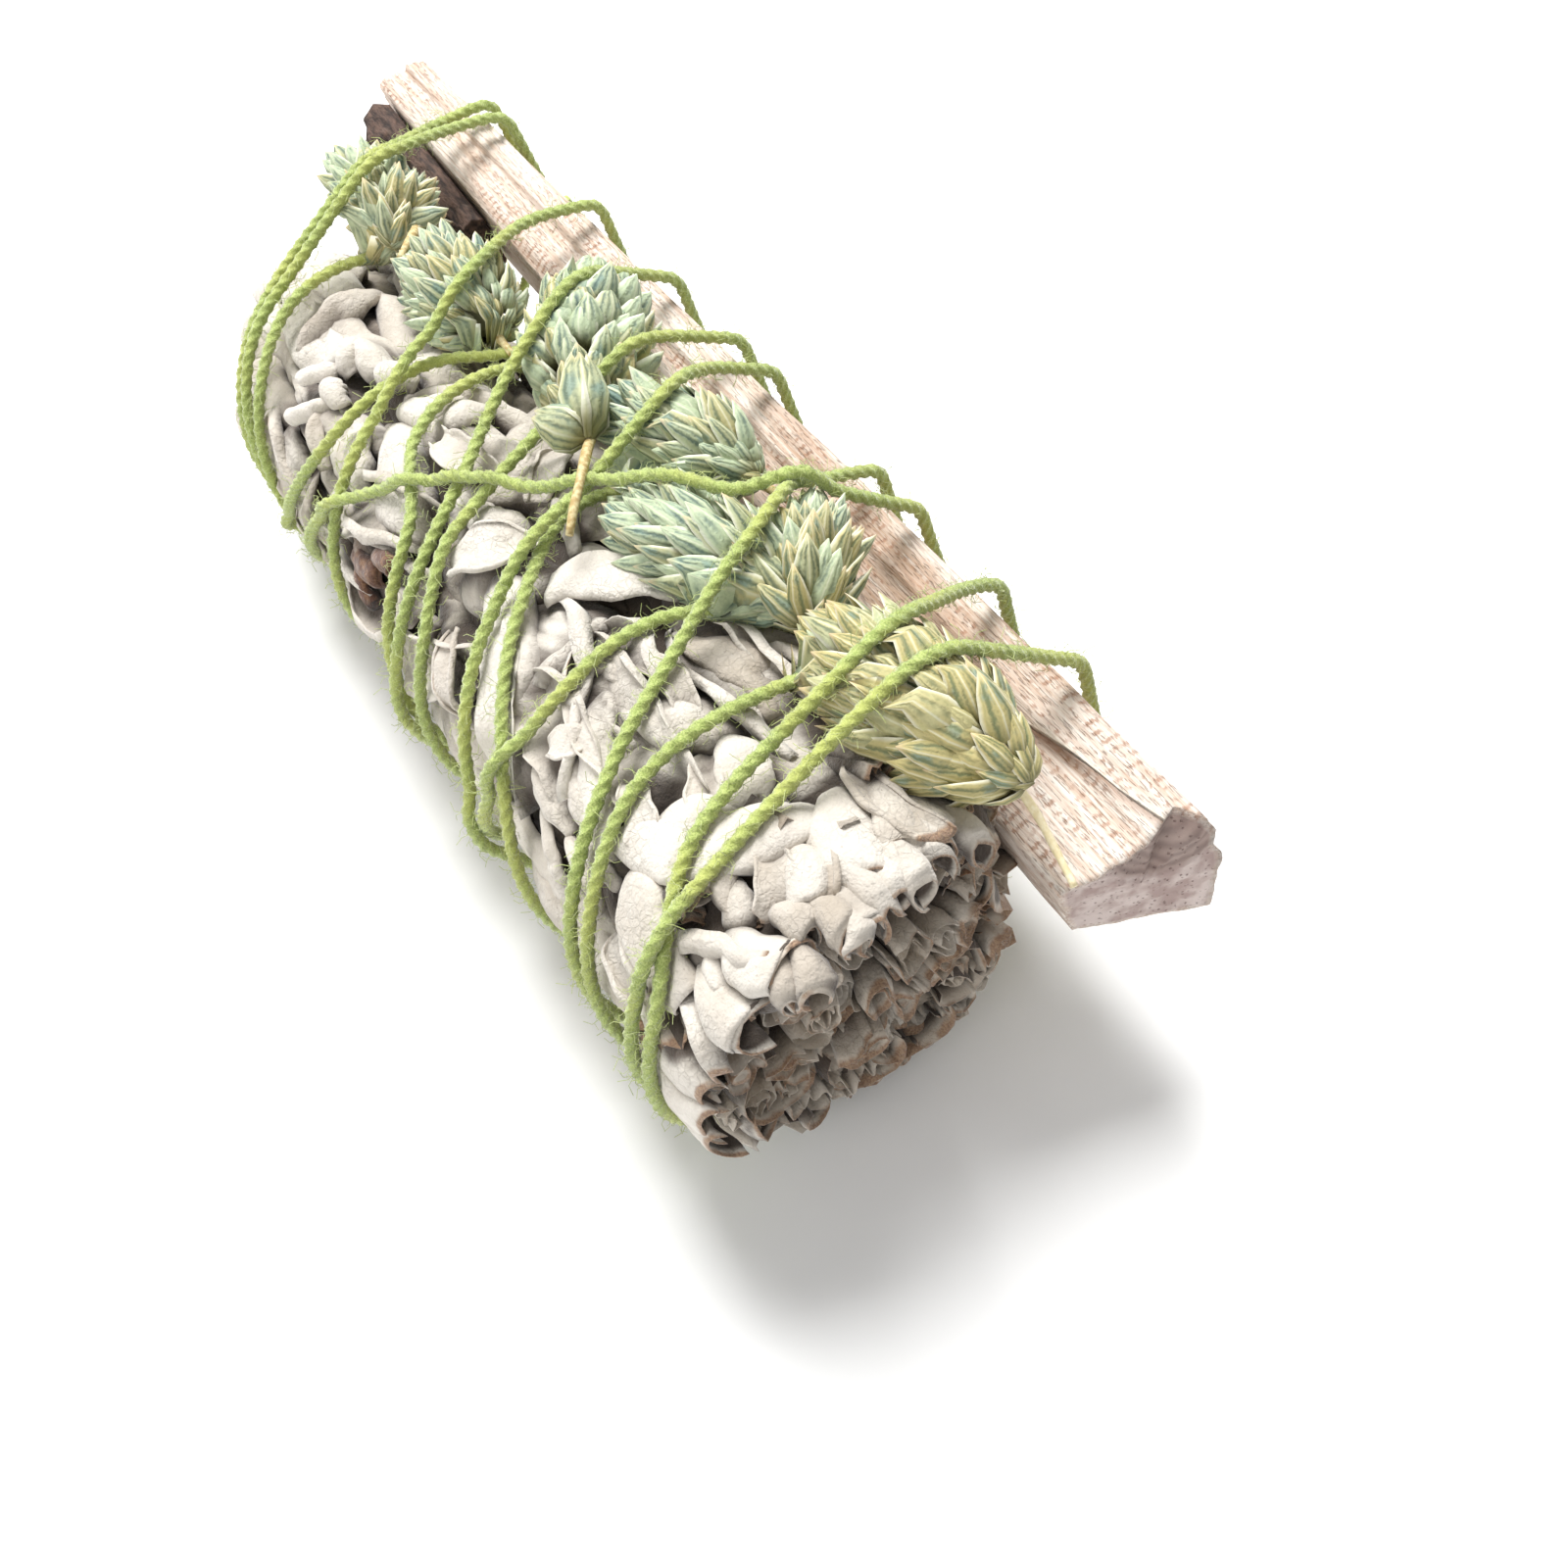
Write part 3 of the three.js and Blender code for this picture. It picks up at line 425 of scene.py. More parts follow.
wood.coat(dashes.ramp(0.58, 0.68) * field.ramp(0.36, 0.56) * 0.34, "#9a6a54")
wood.coat(rungs * rails * field.ramp(0.43, 0.55) * 0.75, "#a67c63")
wood.coat(split_painted_shadow, "#86654f")
# Painted highlight: a pale line along the raised edge of the split.
wood.coat(split.ramp(-0.6, -0.1) * split.ramp(0.05, 0.0) * split_near * 0.5, "#f3ead9")

sawn = wood.attribute("sawn")
heart = wood.attribute("heart")
end_cloud = wood.noise(2.4, 4.0)
vessels = wood.node("ShaderNodeTexVoronoi", None, {"Vector": wood.place, "Scale": 1.9}).ramp(0.26, 0.12)
year_rings = wood.mix((heart * 40.0 + end_cloud * 5.0).sine() * 0.5 + 0.5, "#7f6b64", "#9c877e")
end_colour = wood.mix(end_cloud.ramp(0.35, 0.65), "#a8928c", "#cfc0ba")
end_colour = wood.mix(heart.ramp(1.04, 0.86) * 0.85, end_colour, year_rings)
wood.coat(sawn, wood.mix(vessels * 0.6, end_colour, "#745b54"))
split_height = split.ramp(0.16, -0.1) * split_near * 1.6
side_height = grain * 0.5 + fibre * 0.3 - dashes.ramp(0.58, 0.7) * 0.4 + split_height
wood.close(side_height * (1 - sawn) + (end_cloud - vessels * 0.3) * sawn, 0.3)
dress(stick, "palo_santo_stick")


# The bark: a strip of dark outer bark that the split left on the stick's left flank, about 27 mm long.
# It swells into a knobby lump with a crease at the far end and thins out towards the middle.
BARK_LENGTH = 27.0
BARK_THICKNESS = 4.2
BARK_OUTLINE = [(0.72, 0), (0.95, 0.35), (0.8, 0.8), (0.2, 1), (-0.45, 0.85), (-0.8, 0.3), (-0.7, 0)]

bark_line = closed_line(BARK_OUTLINE, 64)
share, inset = stations(90, np.linspace(0.08, 0.9, 6))
bulge = np.sqrt(1 - inset ** 2)
x = -STICK_HALF_LENGTH + 1.0 + (BARK_LENGTH - 1.8) * share + np.where(share < 0.5, -1.0, 0.8) * (1 - bulge)
up = between(bark_line[None, :, 0], 0.1, inset)
out = between(bark_line[None, :, 1], 0.4, inset)
knob = 1.1 - 0.3 * share + 0.15 * np.sin(share * 9)
spread = between(0.95, 0.75, share)
skin = stick_point(x, -1 - 0.3 * out, up * spread)
crease = 0.22 * np.exp(-((x + 58.5) / 0.6) ** 2)
lumps = 1 + 0.10 * ripple(skin, 3.2, 31) + 0.05 * ripple(skin, 1.2, 32) - crease
depth = (0.15 + BARK_THICKNESS * out * knob * lumps) / (stick_size("width", x) / 2)
rings = stick_point(x, -1 - depth, up * spread)
bark_finish = Finish("dark_bark", roughness=0.82)
bark = make_piece("palo_santo_bark_strip", *closed_loft(rings), bark_finish)
cracks = bark_finish.noise(1.3, 4.0, (0.5, 1.4, 1.4), 0.7)
bark_finish.colour = bark_finish.mix(cracks.ramp(0.35, 0.7), "#2a1f1b", "#6e564a")
bark_finish.coat(bark_finish.noise(2.6, 3.0).ramp(0.56, 0.72) * 0.5, "#8d7a6d")
bark_finish.close(cracks, 0.5)
dress(bark, "palo_santo_bark")


# The twine: one length of soft green cotton, about 2.2 m, of three plies laid right-handed. It is wound
# round the sage first, to the cut end and back, and then round the sage, the stick and the heads. The
# strands are taut, rise over each other where they cross, and shed short fuzz.
SAGE_TIP_X = -54.0
SAGE_CUT_X = 58.0
SAGE_TIP_RADIUS = 13.9
SAGE_CUT_RADIUS = 18.1
SAGE_TIP_SHIFT = (-2.1, -2.6)
SAGE_LEAN = 0.12
SAGE_LEAN_LENGTH = 28.0
TABLE_Z = -20.6
TWINE_RADIUS = 0.8
TWINE_LIFT = 1.2
TWINE_CLEARANCE = TWINE_RADIUS + 0.6
OUTER_START = 2090
SECOND_HALF_START = 3920
HEADS = [
    # middle x, y, z, half length, radius, how far the tip turns to the left and up in degrees, yellowness
    (-51.2, 7.2, 13.4, 6.4, 4.8, -4, 3, 0.15),
    (-41.5, 7.4, 15.8, 8.2, 5.6, -29, 7, 0.35),
    (-23.4, 6.3, 15.6, 9.6, 6.5, 3, 1, 0.25),
    (-5.9, 12.4, 17.2, 10.4, 6.9, -34, 12, 0.30),
    (12.0, 12.0, 18.0, 10.8, 5.6, 22, 0, 0.10),
    (25.4, 6.6, 17.8, 12.4, 5.8, 20, -2, 0.10),
    (32.5, 12.6, 19.2, 8.4, 5.4, -37, 15, 0.45),
    (49.4, 10.6, 19.4, 13.0, 6.6, 12, -1, 0.95),
]
TWINE_ROUTE = [
    # the angle round the bundle in degrees, counted on from turn to turn, and the place along it
    (25, -40), (77, -38.4), (112, -36.8), (147, -32.4), (200, -27.5), (270, -23), (350, -17),
    (436, -11), (470, -6.3), (487, 1.5), (529, 5.4), (600, 9.8), (700, 12),
    (803, 12.5), (838, 19.8), (886, 31.8), (960, 36.5), (1060, 39.5),
    (1157, 41.3), (1200, 41.6), (1238, 45.6), (1310, 50.5), (1400, 50), (1470, 40),
    (1523, 29.9), (1574, 29.3), (1615, 26.4), (1700, 14), (1800, -6),
    (1874, -14.8), (1931, -16.2), (1958, -19.5), (1986, -25.6), (2060, -41), (2130, -48),
    (2201, -49.6), (2227, -43.8), (2270, -41.4), (2331, -36.1), (2400, -35.6), (2480, -40),
    (2561, -46.4), (2587, -41.9), (2640, -38.5), (2686, -33.6), (2760, -29), (2840, -27.5),
    (2926, -25.5), (2953, -18.3), (3007, -11.7), (3060, -8.6), (3140, -9.5), (3220, -11.5),
    (3289, -10), (3312, -5.4), (3362, 4.9), (3405, 7.6), (3480, 6.5), (3560, 2),
    (3647, 1), (3670, 3), (3719, 7.1), (3753, 12), (3840, 14), (3920, 9),
    (4004, 6.9), (4027, 11.8), (4078, 16.8), (4142, 24.5), (4220, 26), (4290, 24),
    (4362, 23.8), (4391, 30.6), (4433, 37), (4475, 43.2), (4560, 45.5), (4640, 42.5),
    (4710, 40.3), (4746, 45.9), (4796, 48.6), (4835, 55.9), (4910, 56.6), (5000, 52.5),
    (5099, 50.2), (5149, 51.5), (5190, 53.6), (5260, 53), (5340, 43), (5410, 30),
    (5458, 27.2), (5481, 15.1), (5513, 0), (5569, -15.8), (5640, -27), (5720, -36), (5785, -39),
]


def sage_share(x):
    return (SAGE_CUT_X - x) / (SAGE_CUT_X - SAGE_TIP_X)


def sage_axis(x):
    """The y and z of the sage's axis, which sinks a little towards the tips."""
    return SAGE_TIP_SHIFT[0] * sage_share(x), SAGE_TIP_SHIFT[1] * sage_share(x)


def sage_point(x, angle, radius):
    y, z = sage_axis(x)
    return in_space(x, y + radius * np.cos(angle), z + radius * np.sin(angle))


def sage_radius(x):
    return between(SAGE_CUT_RADIUS, SAGE_TIP_RADIUS, sage_share(x))


def route_x(degrees):
    """The place along the bundle at an angle of the route, by a smooth curve through its points."""
    angles, places = np.array(TWINE_ROUTE, float).T
    before = np.maximum(np.arange(len(angles)) - 1, 0)
    after = np.minimum(np.arange(len(angles)) + 1, len(angles) - 1)
    slopes = (places[after] - places[before]) / (angles[after] - angles[before])
    k = np.clip(np.searchsorted(angles, degrees) - 1, 0, len(angles) - 2)
    span = angles[k + 1] - angles[k]
    t = (degrees - angles[k]) / span
    rise = slopes[k] * t * (1 - t) ** 2 - slopes[k + 1] * t * t * (1 - t)
    return between(places[k], places[k + 1], t * t * (3 - 2 * t)) + span * rise


def strand_ring(x, is_outer):
    """Points round everything that a strand goes round at x, each the strand's half width away."""
    def circle(y, z, radius, count):
        turn = 2 * math.pi * np.arange(count) / count
        out = radius + TWINE_CLEARANCE
        return np.stack([y + out * np.cos(turn), z + out * np.sin(turn)], -1)

    rings = [circle(*sage_axis(x), sage_radius(x), 36)]
    if is_outer:
        corners = [stick_point(x, a, b) for a in (-1, 1) for b in (-1, 1)]
        corners.append(stick_point(x, 0.8, -1 - STICK_DEEPENING * stick_share(x)))
        rings += [circle(corner[1], corner[2], 0, 10) for corner in corners]
        for middle, y, z, half, radius, *_ in HEADS:
            beside = (x - middle) / half
            if abs(beside) < 1:
                rings.append(circle(y, z, 0.7 * radius * math.sqrt(1 - beside ** 2), 12))
    return np.concatenate(rings)


def out_and_side(points, x, angle):
    """How far points are from the sage's axis in one direction round it, and to the side of that."""
    offset = points - sage_axis(x)
    return offset @ [math.cos(angle), math.sin(angle)], offset @ [-math.sin(angle), math.cos(angle)]


def taut_radius(x, angle, is_outer):
    """How far from the sage's axis a taut strand runs in one direction: where the ring's hull ends."""
    out, side = out_and_side(strand_ring(x, is_outer), x, angle)
    left, right = side >= 0, side < 0
    t = side[left][:, None] / (side[left][:, None] - side[right][None, :])
    return between(out[left][:, None], out[right][None, :], t).max()


def under_stick(x, angle, clearance):
    """How far out the stick's near side is, less a clearance, where a strand or a leaf runs below it."""
    run = np.arange(21) / 10
    bottom = -1 - STICK_DEEPENING * stick_share(x) * run / 2
    face = np.concatenate([stick_point(x, -1.0, 1 - run), stick_point(x, -1 + run, bottom)])
    out, side = out_and_side(face[:, 1:], x, angle)
    met = (out > 0) & (np.abs(side) < clearance)
    return np.min(out[met] - np.sqrt(clearance ** 2 - side[met] ** 2), initial=np.inf)


def strand_points(degrees, lifts):
    """The twine's middle line in the bundle's frame, raised by the lifts."""
    points = []
    for turn, x, lift in zip(degrees, route_x(degrees), lifts):
        angle = math.radians(turn)
        radius = taut_radius(x, angle, turn > OUTER_START) + lift
        if turn <= OUTER_START:
            radius = min(radius, under_stick(x, angle, TWINE_CLEARANCE))
        points.append(sage_point(x, angle, radius))
    points = np.array(points)
    points[:, 2] = np.maximum(points[:, 2], TABLE_Z + TWINE_RADIUS + 0.1)
    return points


def smoothed(line, times):
    """Evens out a line of points between its ends."""
    for _ in range(times):
        line[1:-1] = (line[:-2] + 2 * line[1:-1] + line[2:]) / 4
    return line


# A strand rises where it comes within two thicknesses of one that was laid more than half a turn before.
TWINE_STEP = 1.5
HALF_TURN = int(180 / TWINE_STEP)
RISE_WITHIN = 4 * TWINE_RADIUS
degrees = np.arange(TWINE_ROUTE[0][0], TWINE_ROUTE[-1][0] + 0.1, TWINE_STEP)
laid = strand_points(degrees, np.zeros(len(degrees)))
near = np.full(len(degrees), 99.0)
for k in range(HALF_TURN + 1, len(degrees)):
    near[k] = np.linalg.norm(laid[:k - HALF_TURN] - laid[k], axis=1).min()
lift = TWINE_LIFT * ramp(0, 0.8 * RISE_WITHIN, RISE_WITHIN - near)
strand = smoothed(strand_points(degrees, lift), 2)


def press(points, strand, reach=2.6, bow=0.42):
    """Leaves and scales give way under the strands and swell between them; a stiffer thing has more bow."""
    tree = kdtree.KDTree(len(points))
    for k, point in enumerate(points):
        tree.insert(point, k)
    tree.balance()
    pressed = points.copy()
    for place in strand:
        found = tree.find_range(place, reach + 1.6)
        if not found:
            continue
        index = np.array([entry[1] for entry in found])
        y, z = sage_axis(place[0])
        outward = np.array([0, place[1] - y, place[2] - z])
        outward /= np.linalg.norm(outward)
        offset = pressed[index] - place
        height = offset @ outward
        aside = np.linalg.norm(offset - height[:, None] * outward, axis=1)
        limit = -(TWINE_RADIUS + 0.05) + bow * aside ** 2
        excess = np.where(aside < reach, np.maximum(height - limit, 0), 0)
        pressed[index] -= excess[:, None] * outward
    return pressed


class Growth(Graph):
    """A Geometry Nodes tree with a geometry in and out, and a named input for each size."""

    def __init__(self, name, sizes):
        super().__init__(bpy.data.node_groups.new(name, "GeometryNodeTree"))
        for way in ("INPUT", "OUTPUT"):
            self.tree.interface.new_socket("Geometry", in_out=way, socket_type="NodeSocketGeometry")
        for key, value in sizes.items():
            kind = {int: "NodeSocketInt", float: "NodeSocketFloat"}.get(type(value), "NodeSocketMaterial")
            self.tree.interface.new_socket(key, in_out="INPUT", socket_type=kind)
        self.inputs = self.node("NodeGroupInput")

    def given(self, name):
        """One of the tree's named inputs."""
        return self.inputs.output(name)

    def step(self, kind, settings=None, **inputs):
        """Adds a step, whose inputs are written with _ for each space in their names."""
        inputs = {key.replace("_", " "): value for key, value in inputs.items()}
        return self.node("GeometryNode" + kind, settings, inputs)

    def mark(self, geometry, domain, name, value):
        """Keeps a number on each point or instance, for the finish to read."""
        settings = {"data_type": "FLOAT", "domain": domain}
        return self.step("StoreNamedAttribute", settings, Geometry=geometry, Name=name, Value=value)

    def draw(self, low, high, salt=0):
        """A seeded number for each point or instance."""
        inputs = {"Seed": self.given("Seed") + salt, 2: low, 3: high}
        return self.node("FunctionNodeRandomValue", {"data_type": "FLOAT"}, inputs).output("Value")

    def turned(self, rotation, turn, space):
        inputs = {"Rotation": rotation, "Rotate By": turn}
        return self.node("FunctionNodeRotateRotation", {"rotation_space": space}, inputs)

    def end(self, first, second):
        """Joins two geometries and ends the tree: instances are made real and all take their finish."""
        both = self.node("GeometryNodeJoinGeometry", None, {0: first})
        self.tree.links.new(second.socket, both.socket.node.inputs[0])
        real = self.step("RealizeInstances", Geometry=both)
        whole = self.step("SetMaterial", Geometry=real, Material=self.given("Material"))
        self.node("NodeGroupOutput", None, {0: whole})

    def grow(self, source, sizes, name):
        """Runs the tree on an object with these sizes, and gives the plain mesh that comes out."""
        modifier = source.modifiers.new("grow", "NODES")
        modifier.node_group = self.tree
        for item in self.tree.interface.items_tree:
            if item.in_out == "INPUT" and item.name in sizes:
                modifier[item.identifier] = sizes[item.name]
        depsgraph = bpy.context.evaluated_depsgraph_get()
        mesh = bpy.data.meshes.new_from_object(source.evaluated_get(depsgraph))
        mesh.name = name
        source.modifiers.remove(modifier)
        return add_object(name, mesh)


cotton = Finish("green_twine", roughness=0.85, Sheen_Weight=0.5, Sheen_Roughness=0.5)
fibre = cotton.noise(0.16)
cotton.colour = cotton.mix(fibre.ramp(0.3, 0.7), "#93a653", "#c0cd7c")
cotton.coat(cotton.noise(9.0).ramp(0.45, 0.65) * 0.4, "#c6c664")
cotton.coat(cotton.attribute("fuzz") * 0.6, "#c9d488")
cotton.close(fibre, 0.12)

# The tree lays the plies as three lobes that twist along the strand, and scatters short bent hairs on them.
TWINE_SHOWN_RADIUS = 0.68
LOBE_POINTS = 12
TWINE_SIZES = {
    "Step": 0.0005, "Ply Turn": 0.0042, "Radius": TWINE_SHOWN_RADIUS * 0.001, "Fuzz per Area": 1.35e6,
    "Fuzz Radius": 0.000022, "Seed": 5, "Material": cotton.material,
}
spinning = Growth("twine_winding", TWINE_SIZES)
curve = spinning.given("Geometry")
curve = spinning.step("ResampleCurve", {"mode": "LENGTH"}, Curve=curve, Length=spinning.given("Step"))
twist = spinning.step("SplineParameter").output("Length") / spinning.given("Ply Turn") * (2 * math.pi)
curve = spinning.step("SetCurveTilt", Curve=curve, Tilt=twist)
lobes = spinning.step("CurvePrimitiveCircle", Resolution=LOBE_POINTS, Radius=spinning.given("Radius"))
turn = spinning.step("InputIndex") * (2 * math.pi / LOBE_POINTS)
groove = {0: spinning.step("InputPosition"), "Scale": (turn * 3).cosine() * 0.13 + 0.87}
groove = spinning.node("ShaderNodeVectorMath", {"operation": "SCALE"}, groove)
lobes = spinning.step("SetPosition", Geometry=lobes, Position=groove)
cord = spinning.step("CurveToMesh", Curve=curve, Profile_Curve=lobes, Fill_Caps=True)
places = {"Mesh": cord, "Density": spinning.given("Fuzz per Area"), "Seed": spinning.given("Seed")}
places = spinning.step("DistributePointsOnFaces", **places)
bend = {"Start": (0, 0, -0.0001), "Middle": (0.0004, 0, 0.0007), "End": (0.0011, 0.0003, 0.0003)}
hair = spinning.step("CurveQuadraticBezier", Resolution=8, **bend)
hair = spinning.step("ResampleCurve", {"mode": "COUNT"}, Curve=hair, Count=3)
hair_ring = spinning.step("CurvePrimitiveCircle", Resolution=3, Radius=spinning.given("Fuzz Radius"))
hair = spinning.step("CurveToMesh", Curve=hair, Profile_Curve=hair_ring, Fill_Caps=True)
hair = spinning.mark(hair, "POINT", "fuzz", 1.0)
lean = {"Min": (-0.5, -0.5, 0.0), "Max": (0.5, 0.5, 6.283), "Seed": spinning.given("Seed")}
lean = spinning.node("FunctionNodeRandomValue", {"data_type": "FLOAT_VECTOR"}, lean)
facing = spinning.turned(places.output("Rotation"), lean, "LOCAL")
hairs = spinning.step(
    "InstanceOnPoints", Points=places, Instance=hair, Rotation=facing, Scale=spinning.draw(0.5, 1.5),
)
spinning.end(cord, hairs)


def strand_curve(name, points):
    data = bpy.data.curves.new(name, "CURVE")
    data.dimensions = "3D"
    data.twist_mode = "MINIMUM"
    spline = data.splines.new("POLY")
    spline.points.add(len(points) - 1)
    for target, point in zip(spline.points, put(points)):
        target.co = (*point, 1)
    return add_object(name, data)


first_end, second_end = (int(at) + 2 for at in np.searchsorted(degrees, [OUTER_START, SECOND_HALF_START]))
windings = [
    ("twine_inner_winding", strand[:first_end]),
    ("twine_outer_winding_1", strand[first_end - 2:second_end]),
    ("twine_outer_winding_2", strand[second_end - 2:]),
]
ABOVE_TABLE = 0.00005
for name, points in windings:
    path = strand_curve(name + "_path", points)
    winding = spinning.grow(path, TWINE_SIZES, name)
    bpy.data.objects.remove(path)
    flat = np.empty(len(winding.data.vertices) * 3, np.float32)
    winding.data.vertices.foreach_get("co", flat)
    flat[2::3] = np.maximum(flat[2::3], ABOVE_TABLE)
    winding.data.vertices.foreach_set("co", flat)
    dress(winding, "twine")


# The sage: leafy tops of white sage laid side by side, tips at the far end, stems and lower leaves cut
# off flush at the near end. The leaves are thick and felted, near white, with fine cracked veins, and
# have dried folded and rolled. Under the outer ones lie more, browner, down to the stems; where leaves lie
# covered they are painted darker as shade.
SHOULDER = 14.0
SHOULDER_X = SAGE_TIP_X + SHOULDER
SHOULDER_ARC = 22.5
SPRIG_FIRST_ANGLE = -110
SPRIG_SPAN = 60
LEAF_THICKNESS = 0.36
FLAT_RADIUS = 16.5
SURFACE_X = np.linspace(SHOULDER_X, SAGE_CUT_X + 4, 36)
SURFACE_ANGLES = np.radians(np.arange(-180, 181, 4))
SURFACE = np.array([
    [min(sage_radius(x), under_stick(x, angle, 0.6)) for angle in SURFACE_ANGLES] for x in SURFACE_X
])


def sprig_at(degrees):
    """The number of the outer sprig, from 0, that lies at an angle round the sage."""
    return int(((degrees - SPRIG_FIRST_ANGLE) % 360) // SPRIG_SPAN)


def sage_surface(x, angle):
    """The sage's outer radius, which gives way under the stick, read from a table of it."""
    row = (x - SURFACE_X[0]) / (SURFACE_X[1] - SURFACE_X[0])
    turn = (angle - SURFACE_ANGLES[0]) % (2 * math.pi)
    column = turn / (SURFACE_ANGLES[1] - SURFACE_ANGLES[0])
    i = np.clip(row.astype(int), 0, len(SURFACE_X) - 2)
    j = np.clip(column.astype(int), 0, len(SURFACE_ANGLES) - 2)
    s, t = np.clip(row - i, 0, 1), np.clip(column - j, 0, 1)
    near_row = between(SURFACE[i, j], SURFACE[i, j + 1], t)
    return between(near_row, between(SURFACE[i + 1, j], SURFACE[i + 1, j + 1], t), s)


def wrap(flat):
    """Lays flat ground on the sage: x along it, then the way round it, then the height above it.
    Past the shoulder the ground runs on over the rounded tips."""
    x, angle, height = flat[..., 0], flat[..., 1] / FLAT_RADIUS, flat[..., 2]
    straight = np.maximum(x, SHOULDER_X)
    turn = np.minimum((straight - x) / SHOULDER_ARC, 1) * math.pi / 2
    radius = (sage_surface(straight, angle) + height) * np.cos(turn)
    return sage_point(straight - (SHOULDER + height) * np.sin(turn), angle, radius)


def shell(sheet, thickness):
    """A closed skin of the given thickness round a grid of points, rounded off at its edges."""
    rows, columns = sheet.shape[:2]
    normal = np.cross(np.gradient(sheet, axis=0), np.gradient(sheet, axis=1))
    normal /= np.maximum(np.linalg.norm(normal, axis=-1, keepdims=True), 1e-9)
    u = np.abs(np.linspace(-1, 1, rows))[:, None]
    v = np.abs(np.linspace(-1, 1, columns))[None, :]
    body = np.sqrt(np.maximum(1 - np.maximum(u ** 18, v ** 10), 0.06))[..., None]
    half = normal * body * thickness / 2
    outer = grid_faces(rows, columns, False)
    count = rows * columns
    rim = np.concatenate([
        np.arange(columns), np.arange(2, rows) * columns - 1,
        np.arange(count - 1, count - columns - 1, -1), np.arange(rows - 2, 0, -1) * columns,
    ])
    ahead = np.roll(rim, -1)
    sides = np.stack([rim, ahead, ahead + count, rim + count], -1)
    faces = np.concatenate([outer, outer[:, ::-1] + count, sides])
    return np.concatenate([(sheet + half).reshape(-1, 3), (sheet - half).reshape(-1, 3)]), faces


def section_line(form, side_share, u):
    """Half a leaf's section from its midrib out, as steps aside and up; the angles are in degrees."""
    lean = form["fold"] + form["camber"] * side_share + form["curl"] * ramp(0.5, 1, side_share)
    lean = lean + (16 if form["camber"] < -100 else 5) * np.sin(7 * side_share + form["phase"])
    lean = np.radians(lean * (0.8 + 0.2 * np.sin(5 * u + form["phase"])))
    steps = np.diff(side_share, axis=1)
    mean = (lean[:, 1:] + lean[:, :-1]) / 2
    start = np.zeros((len(u), 1))
    aside = np.concatenate([start, np.cumsum(np.cos(mean) * steps, 1)], 1)
    up = np.concatenate([start, np.cumsum(np.sin(mean) * steps, 1)], 1)
    return aside, up


def leaf_sheet(root, tip, width, form, rows, columns):
    """One leaf as a grid of points on flat ground: root and tip as x and degrees round the sage."""
    start = np.array([root[0], math.radians(root[1]) * FLAT_RADIUS])
    end = np.array([tip[0], math.radians(tip[1]) * FLAT_RADIUS])
    length = np.linalg.norm(end - start)
    ahead = (end - start) / length
    side = np.array([-ahead[1], ahead[0]])
    u = np.linspace(0, 1, rows)[:, None]
    low, middle, high = form["heights"]
    rise = (4 * middle - 3 * low - high) + 2 * u * (2 * low + 2 * high - 4 * middle)
    pitch = np.arctan(rise / length) + math.radians(form["tip_curl"]) * ramp(0.6, 1, u)
    step = length / (rows - 1)
    run = np.concatenate([[[0]], np.cumsum(np.cos(pitch[1:]) * step, 0)])
    climb = low + np.concatenate([[[0]], np.cumsum(np.sin(pitch[1:]) * step, 0)])
    rounded = np.clip(1 - (np.maximum(u - 0.45, 0) / 0.55) ** 2.1, 0.01, 1) ** 0.6
    taper = between(form["root_width"], 1, ramp(0, 0.45, u)) * rounded
    taper = taper * (1 + 0.07 * np.sin(9 * u + 2 * form["phase"]) + 0.05 * np.sin(21 * u + form["phase"]))
    half_count = columns // 2
    side_share = np.linspace(0, 1, half_count + 1)[None, :] ** 0.85 * np.ones((rows, 1))
    left = section_line({**form, "phase": form["phase"] + 1.3}, side_share, u)
    right = section_line(form, side_share, u)
    aside = np.concatenate([-left[0][:, :0:-1], right[0]], 1) * width * taper
    up = np.concatenate([left[1][:, :0:-1], right[1]], 1) * width * taper
    roll = np.radians(form["roll"] + form["twist"] * (u - 0.5))
    aside, up = aside * np.cos(roll) - up * np.sin(roll), aside * np.sin(roll) + up * np.cos(roll)
    bow = form["bow"] * length * np.sin(math.pi * u)
    flat = start + ahead * (run - np.sin(pitch) * up)[..., None] + side * (aside + bow)[..., None]
    height = climb + up * np.cos(pitch)
    place = np.concatenate([flat, height[..., None] * 1.5 + form["phase"] * 40], -1)
    height = height + form["crumple"] * (ripple(place, 7.0, 41) * 0.7 + ripple(place, 3.2, 42) * 0.25)
    height = height - form["crumple"] * 0.4 * np.exp(-(ripple(place, 6.0, 43) / 0.3) ** 2)
    height = np.where(height > 1.0, 1.0 + 0.4 * (height - 1.0), height)
    slant = form["slant"] * (height - height.min(1, keepdims=True)) * ramp(0.3, 0.0, u)
    flat = flat + ahead * slant[..., None]
    return np.concatenate([flat, height[..., None]], -1)


# A leaf takes painted shade once other leaves lie more than 0.4 mm over it, and full painted shade at 3.1
# mm.
COVER_START = 0.4
COVER_DEPTH = 2.7


